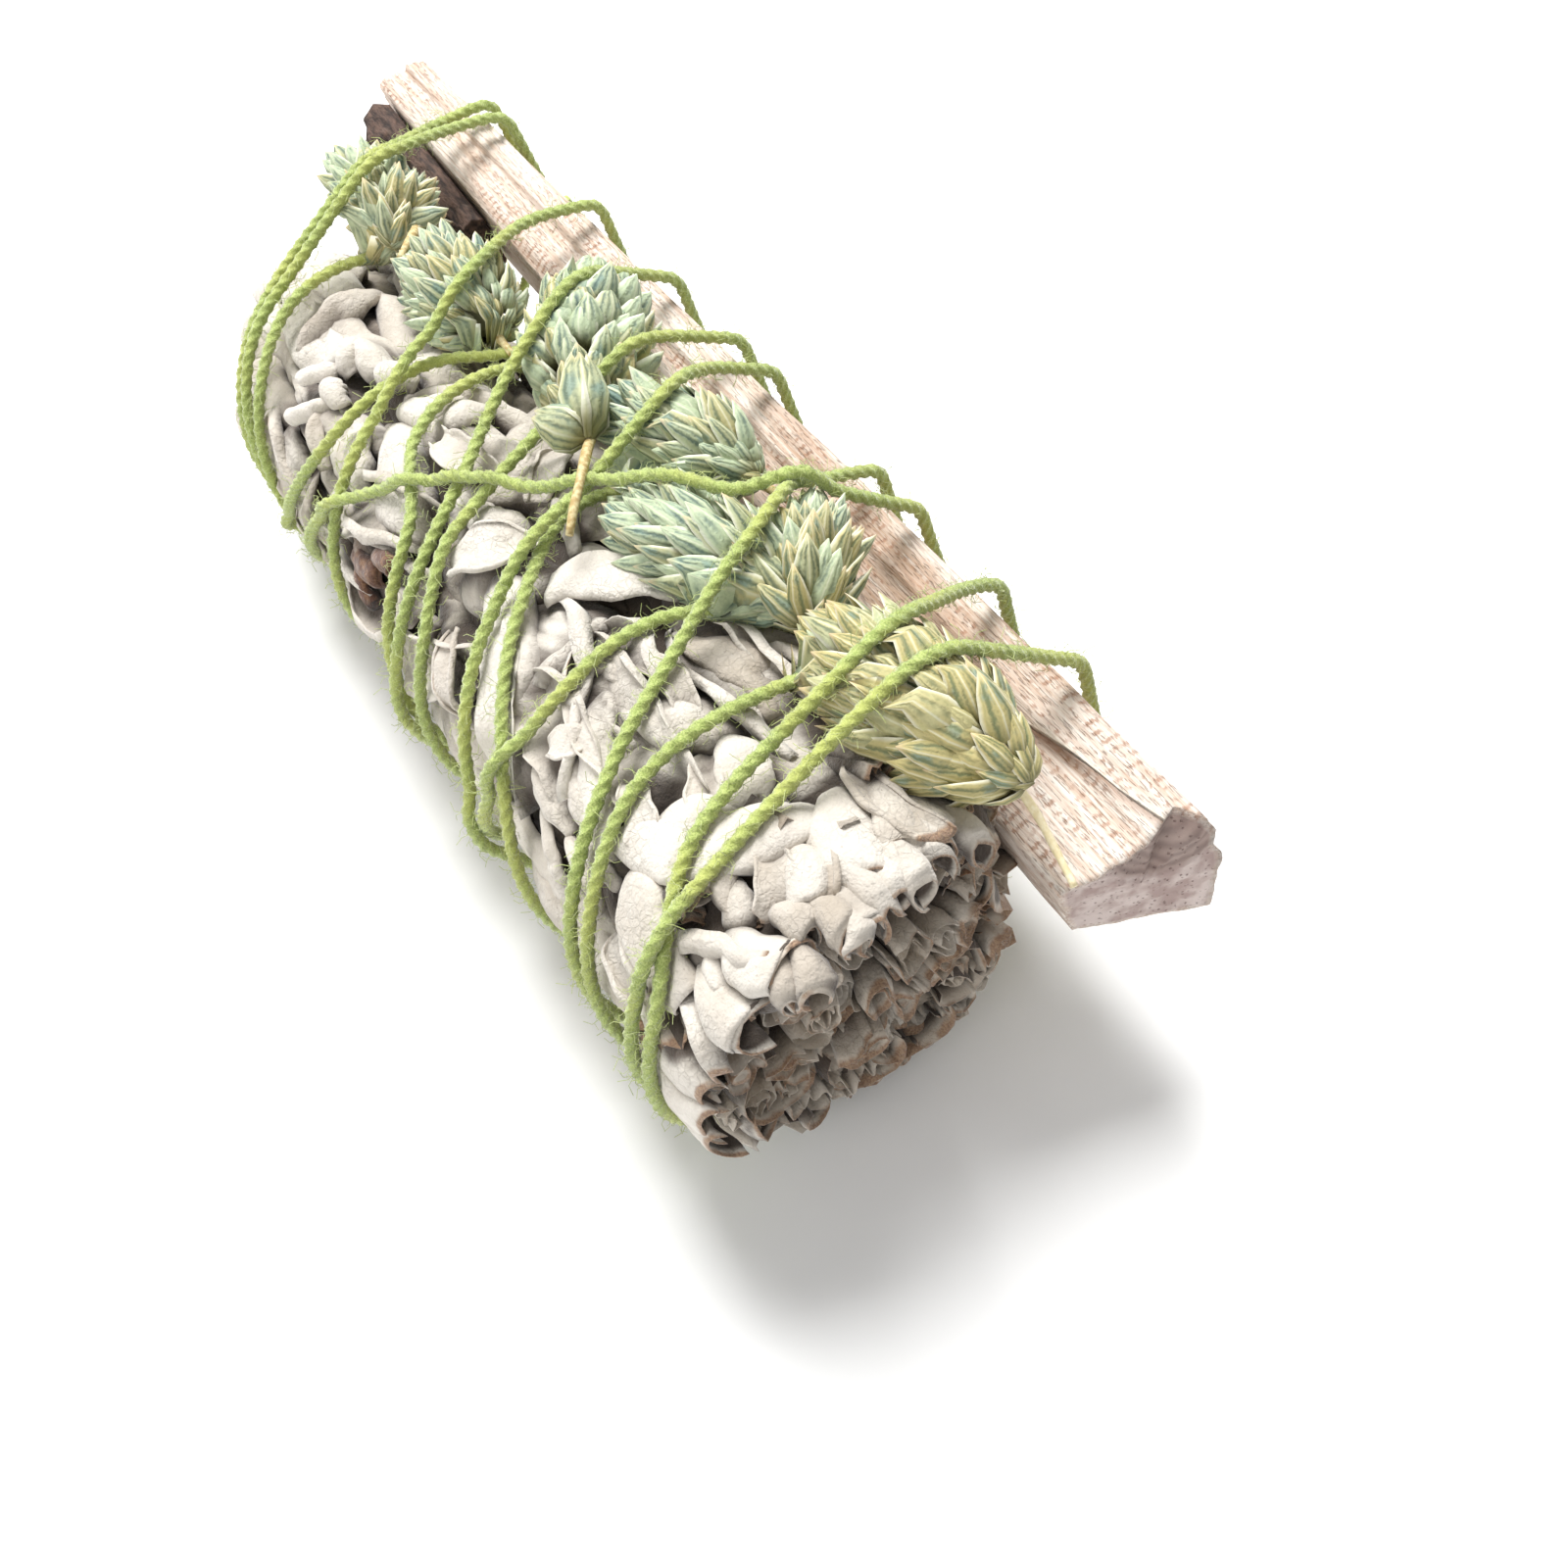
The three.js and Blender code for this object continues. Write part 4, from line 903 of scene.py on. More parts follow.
class LeafHeap:
    """Gathers the leaves of each sprig before they are made into one mesh."""

    def __init__(self):
        self.points, self.faces, self.values = [], [], {"tone": [], "cut": [], "sunk": []}
        self.count = 0

    def add(self, points, faces, tone, cut, sunk=-1.0):
        """Tone is how white the leaf is, cut how near a point is to a cut edge, and the last number the
        painted shade at each
         point: on the cut face it follows how deep a point lies; on the leaves it is worked out later from
             what covers them."""
        lean = SAGE_LEAN * ramp(SAGE_CUT_X - SAGE_LEAN_LENGTH, SAGE_CUT_X, points[:, 0])
        points = points.copy()
        points[:, 0] += lean * (SAGE_CUT_RADIUS - points[:, 2])
        self.points.append(points)
        self.faces.append(faces + self.count)
        self.count += len(points)
        for key, value in (("tone", tone), ("cut", cut), ("sunk", sunk)):
            self.values[key].append(np.broadcast_to(value, len(points)))

    def finish(self, name, node, finish):
        points = np.concatenate(self.points)
        values = {key: np.concatenate(value) for key, value in self.values.items()}
        row, column, radius = relief_cells(points)
        cover_shade = np.clip((relief[row, column] - radius - COVER_START) / COVER_DEPTH, 0, 1)
        values["sunk"] = np.where(values["sunk"] < 0, cover_shade, values["sunk"])
        points = press(points, strand)
        points[:, 2] = np.maximum(points[:, 2], TABLE_Z + 0.02)
        piece = make_piece(name, points, np.concatenate(self.faces), finish, values)
        dress(piece, node)


RELIEF_START = -75
RELIEF_STEP = 0.9
RELIEF_TURN = math.radians(3)
RELIEF_ROWS = 180
RELIEF_COLUMNS = 120


def relief_cells(points):
    """The cell of a net round the sage that each point is in, and its distance from the axis."""
    y, z = sage_axis(points[:, 0])
    angle = np.arctan2(points[:, 2] - z, points[:, 1] - y)
    row = np.clip((points[:, 0] - RELIEF_START) / RELIEF_STEP, 0, RELIEF_ROWS - 1).astype(int)
    column = ((angle + math.pi) / RELIEF_TURN).astype(int) % RELIEF_COLUMNS
    return row, column, np.hypot(points[:, 1] - y, points[:, 2] - z)


LEAF_FORMS = {
    # how much wider than the leaf its sheet is, the section's lean beside the midrib, how the lean changes
    # on the way out, and how the edge curls
    "flat": {"spread": 1.1, "fold": 4, "camber": -34, "curl": -50},
    "domed": {"spread": 1.3, "fold": -4, "camber": -66, "curl": -80},
    "knob": {"spread": 1.5, "fold": -12, "camber": -88, "curl": -60, "tip_curl": -70, "root_width": 0.75},
    "rolled_under": {"spread": 1.6, "fold": -8, "camber": -66, "curl": -190},
    "folded": {"spread": 1.45, "fold": -48, "camber": -18, "curl": -50},
    "cupped": {"spread": 1.3, "fold": 14, "camber": 34, "curl": 80},
    "boat": {"spread": 1.5, "fold": 16, "camber": 20, "curl": 150, "root_width": 0.3},
    "curled_over": {"spread": 1.7, "fold": 8, "camber": 16, "curl": 210},
    "tube": {"spread": 3.2, "fold": 0, "camber": -190, "curl": -20, "root_width": 0.95},
}


def leaf_form(kind, **changes):
    """The measures of one leaf: heights in mm at its root, middle and tip, angles in degrees."""
    form = {
        "heights": (-2.4, 0.2, -0.4), "tip_curl": draw.uniform(-30, 10), "root_width": 0.45,
        "bow": draw.uniform(-0.12, 0.12), "roll": draw.uniform(-14, 14), "twist": draw.uniform(-35, 35),
        "crumple": 0.6, "phase": draw.uniform(0, 6.28), "slant": 0.0,
    }
    return {**form, **changes, **LEAF_FORMS[kind]}


def add_leaf(root, tip, width, form, rows=20, columns=11, tone=0.8):
    """Lays one leaf on the heap of the sprig that its middle belongs to."""
    sheet = wrap(leaf_sheet(root, tip, width, form, rows, columns))
    points, faces = shell(sheet, LEAF_THICKNESS)
    u = np.linspace(0, 1, rows)[:, None] * np.ones((1, columns))
    v = np.abs(np.linspace(-1, 1, columns))[None, :] * np.ones((rows, 1))
    cut = 0.55 * ramp(0.9, 1, v)
    inside = np.full(u.size, -1.0)
    if form["root_width"] > 0.8:
        stain = 0.82 + 0.28 * math.sin(5 * form["phase"])
        cut = np.maximum(cut, np.maximum(ramp(0.2, 0.0, u) * stain, ramp(0.04, 0.0, u)))
        # A rolled cut leaf is painted with shade on one face near its open end, deepening inwards from the
        # cut.
        if form["fold"] + form["camber"] < -25:
            inside = np.where(u < 0.3, ramp(0.0, 0.16, u), -1.0).ravel()
    if tone < 0:
        cut = np.maximum(cut, 0.9)
    inside = np.concatenate([inside, np.full(u.size, -1.0)])
    heaps[sprig_at((root[1] + tip[1]) / 2)].add(points, faces, tone, np.tile(cut.ravel(), 2), inside)


leaf = Finish("sage_leaf", roughness=0.9, Sheen_Weight=0.3, Sheen_Roughness=0.6)
tone = leaf.attribute("tone")
sunk = leaf.attribute("sunk")
cut = leaf.attribute("cut")
felt = leaf.noise(0.2, 3.0)
cloud = leaf.noise(3.6, 3.0)
specks = leaf.noise(0.45, 1.0).ramp(0.72, 0.78)
bent_place = {0: leaf.place, 1: leaf.noise(1.0, 1.0).output("Color")}
bent_place = leaf.node("ShaderNodeVectorMath", {"operation": "ADD"}, bent_place)
veins = {"Vector": bent_place, "Scale": 1.25}
veins = leaf.node("ShaderNodeTexVoronoi", {"feature": "DISTANCE_TO_EDGE"}, veins).ramp(0.0, 0.14, 1, 0)
veins = veins * leaf.noise(7.0, 1.0).ramp(0.42, 0.6)
leaf.colour = leaf.mix(tone * 0.85 + (cloud - 0.5) * 0.9, "#a09280", "#e2dcd2")
leaf.coat(felt.ramp(0.35, 0.7) * 0.2, "#b5aca1")
leaf.coat(veins * 0.28, "#8f8679")
leaf.coat(specks * 0.45, "#86786a")
# Painted shade: where other leaves cover a leaf, where the cut face lies deep, and on the core, the colour
# is darkened nearly to black-brown.
leaf.coat(sunk.ramp(0.02, 0.6) * 0.92, "#3d2e22")
leaf.coat(cut.ramp(0.5, 1.0) * (1 - sunk) * 0.7, "#ded3c3")
stained = (cut * 1.5 + (cloud - 0.5) * 2.4 - sunk * 0.6).ramp(1.02, 1.5)
leaf.coat(stained * 0.85, leaf.mix(felt.ramp(0.4, 0.6), "#80593b", "#a07d5b"))
woody = leaf.mix(specks * 0.4 + leaf.noise(0.8, 3.0).ramp(0.4, 0.7) * 0.6, "#573522", "#9a7453")
# Woody stems, darkened almost to black where they take painted shade.
leaf.coat(tone.ramp(0.0, -0.5), leaf.mix(sunk.ramp(0.1, 0.5), woody, "#1f1410"))
wrinkles = leaf.noise(1.3, 3.0, None, 0.6)
leaf.close(felt * 0.25 - veins * 0.1 + wrinkles * 1.1 + cloud * 0.6, 0.3)

heaps = [LeafHeap() for _ in range(7)]
draw = np.random.default_rng(7)

# The under leaves: browner ones that lie flat below the others.
UNDER_ROWS = 7
UNDER_AROUND = 11
for row in range(UNDER_ROWS):
    for k in range(UNDER_AROUND):
        root_x = SAGE_CUT_X + 6 - row * 17.0 + draw.uniform(-3, 3)
        angle = (k + 0.5 * (row % 2) + draw.uniform(-0.2, 0.2)) * 360 / UNDER_AROUND
        root_width = 0.95 if root_x > SAGE_CUT_X - 1 else 0.5
        kind = draw.choice(["flat", "domed"])
        form = leaf_form(kind, heights=(-3.4, -2.5, -2.2), crumple=0.5, root_width=root_width)
        root = (min(root_x, SAGE_CUT_X - draw.uniform(0.4, 1.6)), angle)
        tip = (max(root_x - draw.uniform(26, 34), -61), angle + draw.uniform(-12, 12))
        width = draw.uniform(6.4, 8.4)
        add_leaf(root, tip, width, form, rows=15, tone=draw.uniform(0.15, 0.5))

# The leaves that show on the top and the left side as the photograph is taken, each in its place.
SHOWN_LEAVES = [
    # root and tip as x and degrees round the sage, half width, form, height in the middle, whiteness
    (-33.5, 125, -35.0, 73, 2.3, "folded", 0.7, 0.45), (-23.0, 111, -28.5, 109, 2.3, "knob", 1.2, 0.9),
    (-19.0, 100, -28.0, 99, 2.0, "knob", 1.0, 0.95), (-21.0, 126, -25.0, 115, 2.1, "knob", 1.1, 0.9),
    (-25.0, 115, -29.5, 134, 1.3, "knob", 1.1, 0.9), (-22.0, 122, -30.0, 151, 1.2, "knob", 1.1, 0.9),
    (-18.5, 150, -24.0, 127, 1.3, "folded", 0.9, 0.5), (-22.0, 178, -30.0, 150, 3.2, "domed", 0.4, 0.95),
    (-16.0, 93, -20.5, 110, 2.0, "knob", 1.0, 0.95), (-10.0, 84, -14.0, 111, 2.3, "domed", 0.8, 0.95),
    (-12.0, 109, 2.8, 135, 3.9, "domed", 0.9, 1.0), (-17.5, 124, -9.0, 146, 2.5, "domed", 0.4, 0.9),
    (-8.5, 78, -7.0, 100, 2.1, "domed", 0.9, 0.85), (-6.5, 102, 2.5, 94, 1.9, "cupped", 0.5, 0.8),
    (4.0, 108, 11.5, 99, 1.6, "tube", 1.0, 0.95), (13.5, 99, 8.0, 129, 2.3, "boat", 1.2, 0.9),
    (8.0, 91, 2.0, 70, 1.5, "curled_over", 0.8, 0.75), (16.0, 92, 8.0, 86, 1.1, "folded", 0.8, 0.85),
    (-5.5, 176, -14.0, 164, 1.2, "folded", 0.3, 0.5), (-9.5, 163, -15.5, 147, 1.3, "folded", 0.3, 0.8),
    (18.0, 107, 27.5, 76, 2.7, "flat", 1.4, 1.0), (13.5, 115, 26.5, 166, 4.1, "flat", 0.9, 1.0),
    (25.0, 99, 25.0, 132, 2.2, "folded", 0.9, 0.95), (13.0, 140, 19.5, 161, 1.4, "curled_over", 0.9, 0.5),
    (8.5, 145, 11.0, 168, 1.0, "folded", 0.5, 0.7), (2.0, 150, 5.0, 174, 2.0, "domed", 0.3, 0.9),
    (42.5, 143, 31.0, 110, 1.9, "domed", 1.0, 0.95), (33.5, 111, 43.5, 96, 2.3, "domed", 0.8, 0.95),
    (34.5, 123, 31.0, 137, 1.3, "cupped", 1.0, 0.8), (37.5, 150, 29.5, 138, 1.7, "folded", 0.7, 0.8),
    (39.5, 140, 33.0, 129, 1.1, "tube", 0.9, 0.8), (38.5, 166, 32.0, 152, 1.0, "folded", 0.8, 0.75),
    (43.5, 160, 36.0, 150, 1.0, "folded", 0.6, 0.7), (44.5, 146, 38.0, 139, 1.0, "rolled_under", 0.6, 0.75),
    (49.0, 104, 41.5, 94, 2.3, "flat", 0.7, 0.9), (47.5, 114, 42.0, 101, 1.6, "cupped", 0.5, 0.85),
    (44.5, 137, 50.0, 103, 2.4, "rolled_under", 1.2, 1.0),
    (49.0, 126, 53.5, 84, 2.3, "rolled_under", 1.3, 1.0),
    (42.0, 77, 30.0, 88, 2.6, "flat", 0.6, 0.35), (26.0, 124, 32.0, 98, 1.1, "rolled_under", 0.8, 0.75),
    (27.0, 110, 37.5, 98, 1.1, "folded", 0.9, 0.8), (39.5, 101, 30.5, 101, 1.3, "cupped", 0.8, 0.7),
    (40.0, 122, 46.0, 129, 1.6, "cupped", 0.7, 0.9), (53.0, 164, 45.5, 155, 1.6, "curled_over", 0.4, 0.8),
    (55.8, 147, 44.0, 138, 3.3, "flat", 1.6, 0.75), (52.0, 99, 41.5, 138, 2.7, "flat", 1.3, 1.0),
    (56.5, 125, 51.5, 116, 1.5, "domed", 0.6, 0.8), (61.5, 168, 47.0, 163, 3.0, "domed", 0.7, 0.9),
    (61.5, 178, 46.0, 175, 3.2, "flat", 0.9, 0.9), (62.5, 188, 48.0, 184, 3.2, "domed", 0.6, 0.85),
    (57.5, 98, 51.5, 93, 1.6, "domed", 0.7, 0.8), (59.5, 104, 53.0, 98, 1.1, "curled_over", 0.6, 0.3),
    (63.5, 93, 54.0, 99, 1.4, "folded", 0.8, 0.85), (64.5, 98, 56.0, 100, 1.3, "tube", 0.5, 0.75),
    (61.0, 65, 51.0, 68, 2.0, "tube", 0.8, 0.7), (62.5, 75, 52.0, 76, 1.4, "tube", 0.9, 0.8),
    (64.0, 83, 54.0, 86, 1.3, "tube", 0.9, 0.75), (63.5, 89, 54.0, 92, 1.1, "tube", 0.7, 0.8),
    (61.5, 72, 52.0, 71, 1.0, "tube", 1.1, 0.7), (62.0, 58, 52.0, 62, 1.5, "tube", 0.5, 0.7),
    (61.5, 157, 52.0, 147, 1.5, "folded", 0.7, 0.95),
    (60.0, 138, 53.5, 130, 1.2, "folded", 1.0, 1.0), (55.5, 123, 50.0, 113, 1.3, "folded", 1.1, 0.6),
    (57.5, 113, 53.0, 106, 2.0, "cupped", 0.7, 0.6), (60.5, 111, 52.5, 100, 1.4, "tube", 1.3, 0.85),
    (64.0, 127, 57.0, 119, 0.9, "tube", 0.6, 0.5), (65.0, 121, 58.0, 115, 1.0, "tube", 0.4, 0.45),
    (64.0, 135, 54.0, 138, 2.1, "tube", 1.3, 0.8),
    (62.0, 110, 55.5, 118, 1.2, "tube", 1.1, 0.55), (63.0, 116, 54.5, 129, 1.9, "tube", 1.8, 0.9),
    (63.6, 104, 57.0, 110, 0.9, "tube", 1.2, 0.4), (64.5, 104, 58.5, 106, 0.9, "tube", 1.0, 0.8),
    (61.0, 94, 49.5, 79, 2.8, "domed", 1.5, 0.9), (59.5, 84, 49.5, 71, 1.5, "rolled_under", 1.6, 0.6),
    (60.0, 74, 49.0, 75, 1.6, "curled_over", 1.3, 0.45),
    (-2.0, 160, -10.0, 155, 1.6, "folded", 0.5, -0.3), (-1.0, 173, -7.0, 161, 0.9, "tube", 0.9, -1),
    (0.5, 152, -8.0, 159, 1.2, "tube", 1.3, -1), (2.4, 144, -4.0, 150, 0.8, "tube", 1.2, -0.5),
]
CUT_LEAVES_X = 53
for root_x, root_turn, tip_x, tip_turn, width, kind, height, white in SHOWN_LEAVES:
    root_drop, tip_drop = (0.9, 1.6) if root_x > SAGE_CUT_X else (1.3, 0.8)
    is_cut = root_x > SAGE_CUT_X - 2 or white < 0
    form = leaf_form(
        kind, heights=(height - root_drop, height, height - tip_drop), roll=draw.uniform(-6, 6),
        twist=draw.uniform(-16, 16), root_width=0.95 if is_cut else 0.72, slant=0.8 if is_cut else 0.0,
        tip_curl=draw.uniform(-35, -5),
    )
    if root_x > CUT_LEAVES_X:  # near the cut the leaves are smoother and narrower
        form["crumple"] = 0.3
        width = width * 0.86
    root, tip = (root_x, root_turn), (tip_x, tip_turn)
    add_leaf(root, tip, width * form["spread"], form, rows=24, columns=15, tone=white)

# The rest of the outer leaves, at random all round. They lie lower where the placed ones show, and near
# the cut also beside the stick and below it.
OUTER_ROWS = 13
OUTER_AROUND = 15
SHOWN_TURNS = (70, 175)
NEAR_CUT_X = 44
KINDS = [
    "flat", "flat", "domed", "domed", "rolled_under", "folded", "folded", "cupped", "curled_over", "tube",
]
for row in range(OUTER_ROWS):
    for k in range(OUTER_AROUND):
        kind = draw.choice(KINDS)
        root_x = SAGE_CUT_X + 4 - row * 9.0 + draw.uniform(-4, 4)
        angle = (k + 0.5 * (row % 2) + draw.uniform(-0.3, 0.3)) * 360 / OUTER_AROUND
        length = draw.uniform(11, 23)
        heading = math.radians(draw.normal(0, 30)) * (0.3 if root_x > NEAR_CUT_X else 1.0)
        is_shown = SHOWN_TURNS[0] < angle % 360 < SHOWN_TURNS[1]
        lower = 0.9 if is_shown else 0.0
        if root_x > NEAR_CUT_X and (angle + 110) % 360 < 145:
            lower = 1.6
            kind = draw.choice(["flat", "domed", "tube"])
        heights = (-1.6 - lower * 0.5, draw.uniform(-0.3, 0.9) - lower, draw.uniform(-0.9, 0.1) - lower)
        root_width = 0.95 if root_x > SAGE_CUT_X - 1 else 0.75
        form = leaf_form(kind, heights=heights, root_width=root_width, twist=draw.uniform(-20, 20))
        root = (min(root_x, SAGE_CUT_X - draw.uniform(-0.4, 1.2)), angle)
        tip_turn = angle + math.degrees(length * math.sin(heading) / FLAT_RADIUS)
        tip = (max(root_x - length * math.cos(heading), -58.0), tip_turn)
        width = draw.uniform(2.3, 4.3) * min(form["spread"], 2.2) * (1.25 if is_shown else 1.0)
        add_leaf(root, tip, min(width, 7.5), form, tone=draw.uniform(0.5, 1.0))

# The tips: young leaves that point forwards at the far end and close it, in three rings.
TIP_RINGS = [
    # radius, how many leaves, and how far they reach
    (3.2, 5, -64.5), (6.6, 8, -62.5), (9.8, 11, -60.0),
]
TIP_ROOT_X = -46.0
for ring_radius, leaf_count, tip_x in TIP_RINGS:
    for k in range(leaf_count):
        kind = draw.choice(["flat", "domed", "rolled_under", "folded"])
        form = leaf_form(kind, heights=(-0.8, 0.4, -1.2), root_width=0.7)
        tip = (tip_x + draw.uniform(-1.5, 3.0), draw.uniform(-8, 8))
        sheet = leaf_sheet((TIP_ROOT_X, 0), tip, draw.uniform(2.6, 3.8), form, 14, 11)
        turn = (k + draw.uniform(-0.2, 0.2)) * 2 * math.pi / leaf_count + ring_radius
        radius = ring_radius * (1 - 0.45 * ramp(-50, -64, sheet[..., 0])) + sheet[..., 2]
        place = sage_point(sheet[..., 0], turn + sheet[..., 1] / ring_radius, radius)
        heap = heaps[sprig_at(math.degrees(turn))]
        heap.add(*shell(place, LEAF_THICKNESS), draw.uniform(0.6, 1.0), 0.0)

# The cut face: where the knife went through, each leaf shows as a thin rolled or pleated edge. They lie
# in loose bundles round the cut stems, some standing out further than others; what lies further back is
# painted darker as shade, so the gaps between show dark.
# Their rims are pale, or brown where the sap has dried, and the stems are woody, with a paler pith.
ROLL_COUNT = 84
ROLL_DEPTH = 7.0
CUT_DOME = 0.007
roll_draw = np.random.default_rng(19)


def cut_face_x(y, z):
    """How far out the rough cut face stands at a place, a little domed."""
    place = np.stack([y, z], -1)
    rough = 0.35 * ripple(place, 3.0, 51) + 0.5 * ripple(place, 9.0, 52)
    return SAGE_CUT_X - 0.4 - CUT_DOME * (y ** 2 + z ** 2) + rough


# The middles of the rolls are spread evenly: each moves towards the mean of the points nearest to it.
DISC_POINTS = 9000
disc = roll_draw.uniform(-1, 1, (DISC_POINTS, 2)) * SAGE_CUT_RADIUS
rim = sage_surface(np.full(DISC_POINTS, SAGE_CUT_X), np.arctan2(disc[:, 1], disc[:, 0]))
disc = disc[np.hypot(disc[:, 0], disc[:, 1]) < rim - 0.6]
middles = disc[:ROLL_COUNT].copy()
for _ in range(5):
    nearest = np.argmin(np.linalg.norm(disc[:, None] - middles[None], axis=2), axis=1)
    middles = np.array([between(middles[k], disc[nearest == k].mean(0), 0.7) for k in range(ROLL_COUNT)])


def roll_reach(k, turn):
    """How far the roll round middle k may reach in each direction, up to the next roll or the rim."""
    direction = np.stack([np.cos(turn), np.sin(turn)], -1)
    reach = np.full(len(turn), 9.0)
    for other in np.delete(middles, k, 0) - middles[k]:
        across = direction @ other
        halfway = other @ other / 2 / np.maximum(across, 0.1)
        reach = np.where(across > 0.1, np.minimum(reach, halfway), reach)
    for _ in range(12):
        edge = middles[k] + direction * reach[:, None]
        room = sage_surface(np.full(len(turn), SAGE_CUT_X), np.arctan2(edge[:, 1], edge[:, 0])) - 0.7
        reach = np.where(np.hypot(edge[:, 0], edge[:, 1]) > room, reach * 0.94, reach)
    smooth = np.concatenate([reach[-3:], reach, reach[:3]])
    return np.convolve(smooth, np.ones(7) / 7, "valid")


MIDDLE_SPRIG_RADIUS = 7.5


def roll_heap(place):
    """The middle sprig within its radius, and else the sprig whose sector the place is in."""
    angle = math.degrees(math.atan2(place[1], place[0]))
    return heaps[6 if np.hypot(*place) < MIDDLE_SPRIG_RADIUS else sprig_at(angle)]


def add_edge(middle, sheet, deep, thickness, white, rim, stands_out=0.0):
    """Adds a leaf's cut edge to the face. Deep goes from 0 inside the bundle to 1 at the cut, and rim says
     how pale or stained each point is. What stands further back is painted darker, as shade."""
    # The share of painted shade: more where a point lies deeper in the bundle or the edge stands back.
    below = np.clip((1 - deep) * 1.3 - stands_out * 0.06, 0, 1)
    rim, below = (np.tile(np.broadcast_to(mark, sheet.shape[:2]).ravel(), 2) for mark in (rim, below))
    roll_heap(middle).add(*shell(sheet, thickness), white, rim, below)


ROLL_KINDS = {
    # sheets, half turns that each winds round, how much it winds inwards, how deep its pleats are
    "tube": (1, 3.0, 0.45, 0.03),
    "tight": (1, 4.6, 0.78, 0.03),
    "double": (2, 2.2, 0.2, 0.05),
    "pleated": (2, 1.6, 0.10, 0.2),
    "stem": (1, 2.1, 0.12, 0.05),
}
ROLL_CHOICES = ["tube", "tight", "tight", "double", "pleated", "pleated", "stem"]
STEM_PROFILE = [
    # radius against the stem's, how far out of the face, and how brown
    (1.0, -7, 0.5), (1.0, -2, 0.6), (1.04, -0.15, 1.0), (0.94, 0.05, 1.0), (0.7, -0.1, 0.8),
    (0.45, -0.35, 0.25), (0.2, -0.4, 0.15),
]
full_turn = np.linspace(0, 2 * math.pi, 73)
run = np.linspace(0, 1, 36)
deep = np.linspace(0, 1, 5)[:, None] ** 0.7
for k, middle in enumerate(middles):
    reach = roll_reach(k, full_turn)
    kind = roll_draw.choice(ROLL_CHOICES)
    sheets, half_turns, inwards, pleats = ROLL_KINDS[kind]
    stands_out = roll_draw.uniform(-2.8, 1.4)
    aim = roll_draw.uniform(0, 2 * math.pi)
    for n in range(sheets):
        start = roll_draw.uniform(0, 2 * math.pi)
        theta = start + run * half_turns * roll_draw.uniform(0.85, 1.1) * math.pi
        radius = np.interp(theta % (2 * math.pi), full_turn, reach) * (0.95 - 0.38 * n)
        folds = pleats * np.sin(roll_draw.integers(5, 10) * theta + roll_draw.uniform(0, 6))
        radius = radius * (1 + folds - inwards * run)
        y, z = middle[0] + radius * np.cos(theta), middle[1] + radius * np.sin(theta)
        end_x = cut_face_x(y, z) + stands_out + roll_draw.uniform(-0.4, 0.4)
        x = end_x + 0.16 * np.sin(3 * theta + start) - ROLL_DEPTH * (1 - deep)
        lean = (deep - 0.6) * 1.6
        narrow = 1 - 0.2 * (1 - deep)  # the rolls run together a little towards the inside
        wobble = 0.2 * ripple(in_space(x, y, z), 2.4, 55)
        y = y * narrow + lean * math.cos(aim) + wobble
        z = z * narrow + lean * math.sin(aim) + wobble * 0.7
        rim = ramp(0.7, 1.0, deep) * roll_draw.choice([0.5, 0.85, 1.1])
        add_edge(middle, in_space(x, y, z), deep, 0.32, roll_draw.uniform(0.0, 0.62), rim, stands_out)
    if kind == "stem":
        thick = roll_draw.uniform(0.7, 1.3)
        stem_x = float(cut_face_x(*middle)) + stands_out + roll_draw.uniform(-0.2, 0.8)
        ring = np.linspace(0, 2 * math.pi, 14, endpoint=False)
        wide = thick * (1 + 0.08 * np.sin(3 * ring + k))
        y, z = np.cos(ring) * wide, np.sin(ring) * wide
        rings = np.array([
            in_space(stem_x + out, middle[0] + wider * y, middle[1] + wider * z)
            for wider, out, _ in STEM_PROFILE
        ])
        brown = np.array(STEM_PROFILE)[:, 2]
        brown = np.append(np.repeat(brown, 14), [brown[0], brown[-1]])
        points, faces = closed_loft(rings)
        # The stem is painted darker, as shade, the further it lies back from the cut.
        roll_heap(middle).add(points, faces, 0.3, brown, np.clip((SAGE_CUT_X - points[:, 0]) / 7.0, 0, 1))

RUFFLES = [
    # leaves pleated tightly along the rim: from and to which angle, and how far in from the rim
    (205, 262, 1.5), (222, 288, 3.0), (268, 325, 1.7), (150, 196, 1.6), (300, 340, 3.2), (236, 272, 4.4),
]
deep = np.linspace(0, 1, 4)[:, None]
for low, high, inset in RUFFLES:
    theta = np.radians(np.linspace(low, high, 90))
    radius = sage_surface(np.full(90, SAGE_CUT_X), theta) - inset
    radius = radius + 0.55 * np.sin(theta * 58 + 2 * ripple(theta[:, None], 0.6, low))
    y, z = radius * np.cos(theta), radius * np.sin(theta)
    x = cut_face_x(y, z) + 0.6 + 0.35 * np.sin(theta * 31) - 6.0 * (1 - deep)
    add_edge(np.array([y[45], z[45]]), in_space(x, y, z), deep, 0.3, 0.5, ramp(0.6, 1.0, deep) * 0.8)

# The core: a form that fills the bundle below the leaves, painted dark all over as shade, so that no gap
# shows through.
CORE_DEPTH = 4.3
core_x = np.linspace(SAGE_CUT_X - 6.5, -60, 40)
core_turn = np.linspace(0, 2 * math.pi, 60, endpoint=False)
core_x, core_turn = np.meshgrid(core_x, core_turn, indexing="ij")
core_rings = wrap(in_space(core_x, core_turn * FLAT_RADIUS, -CORE_DEPTH))
heaps[6].add(*closed_loft(core_rings), 0.0, 0.0, 1.0)

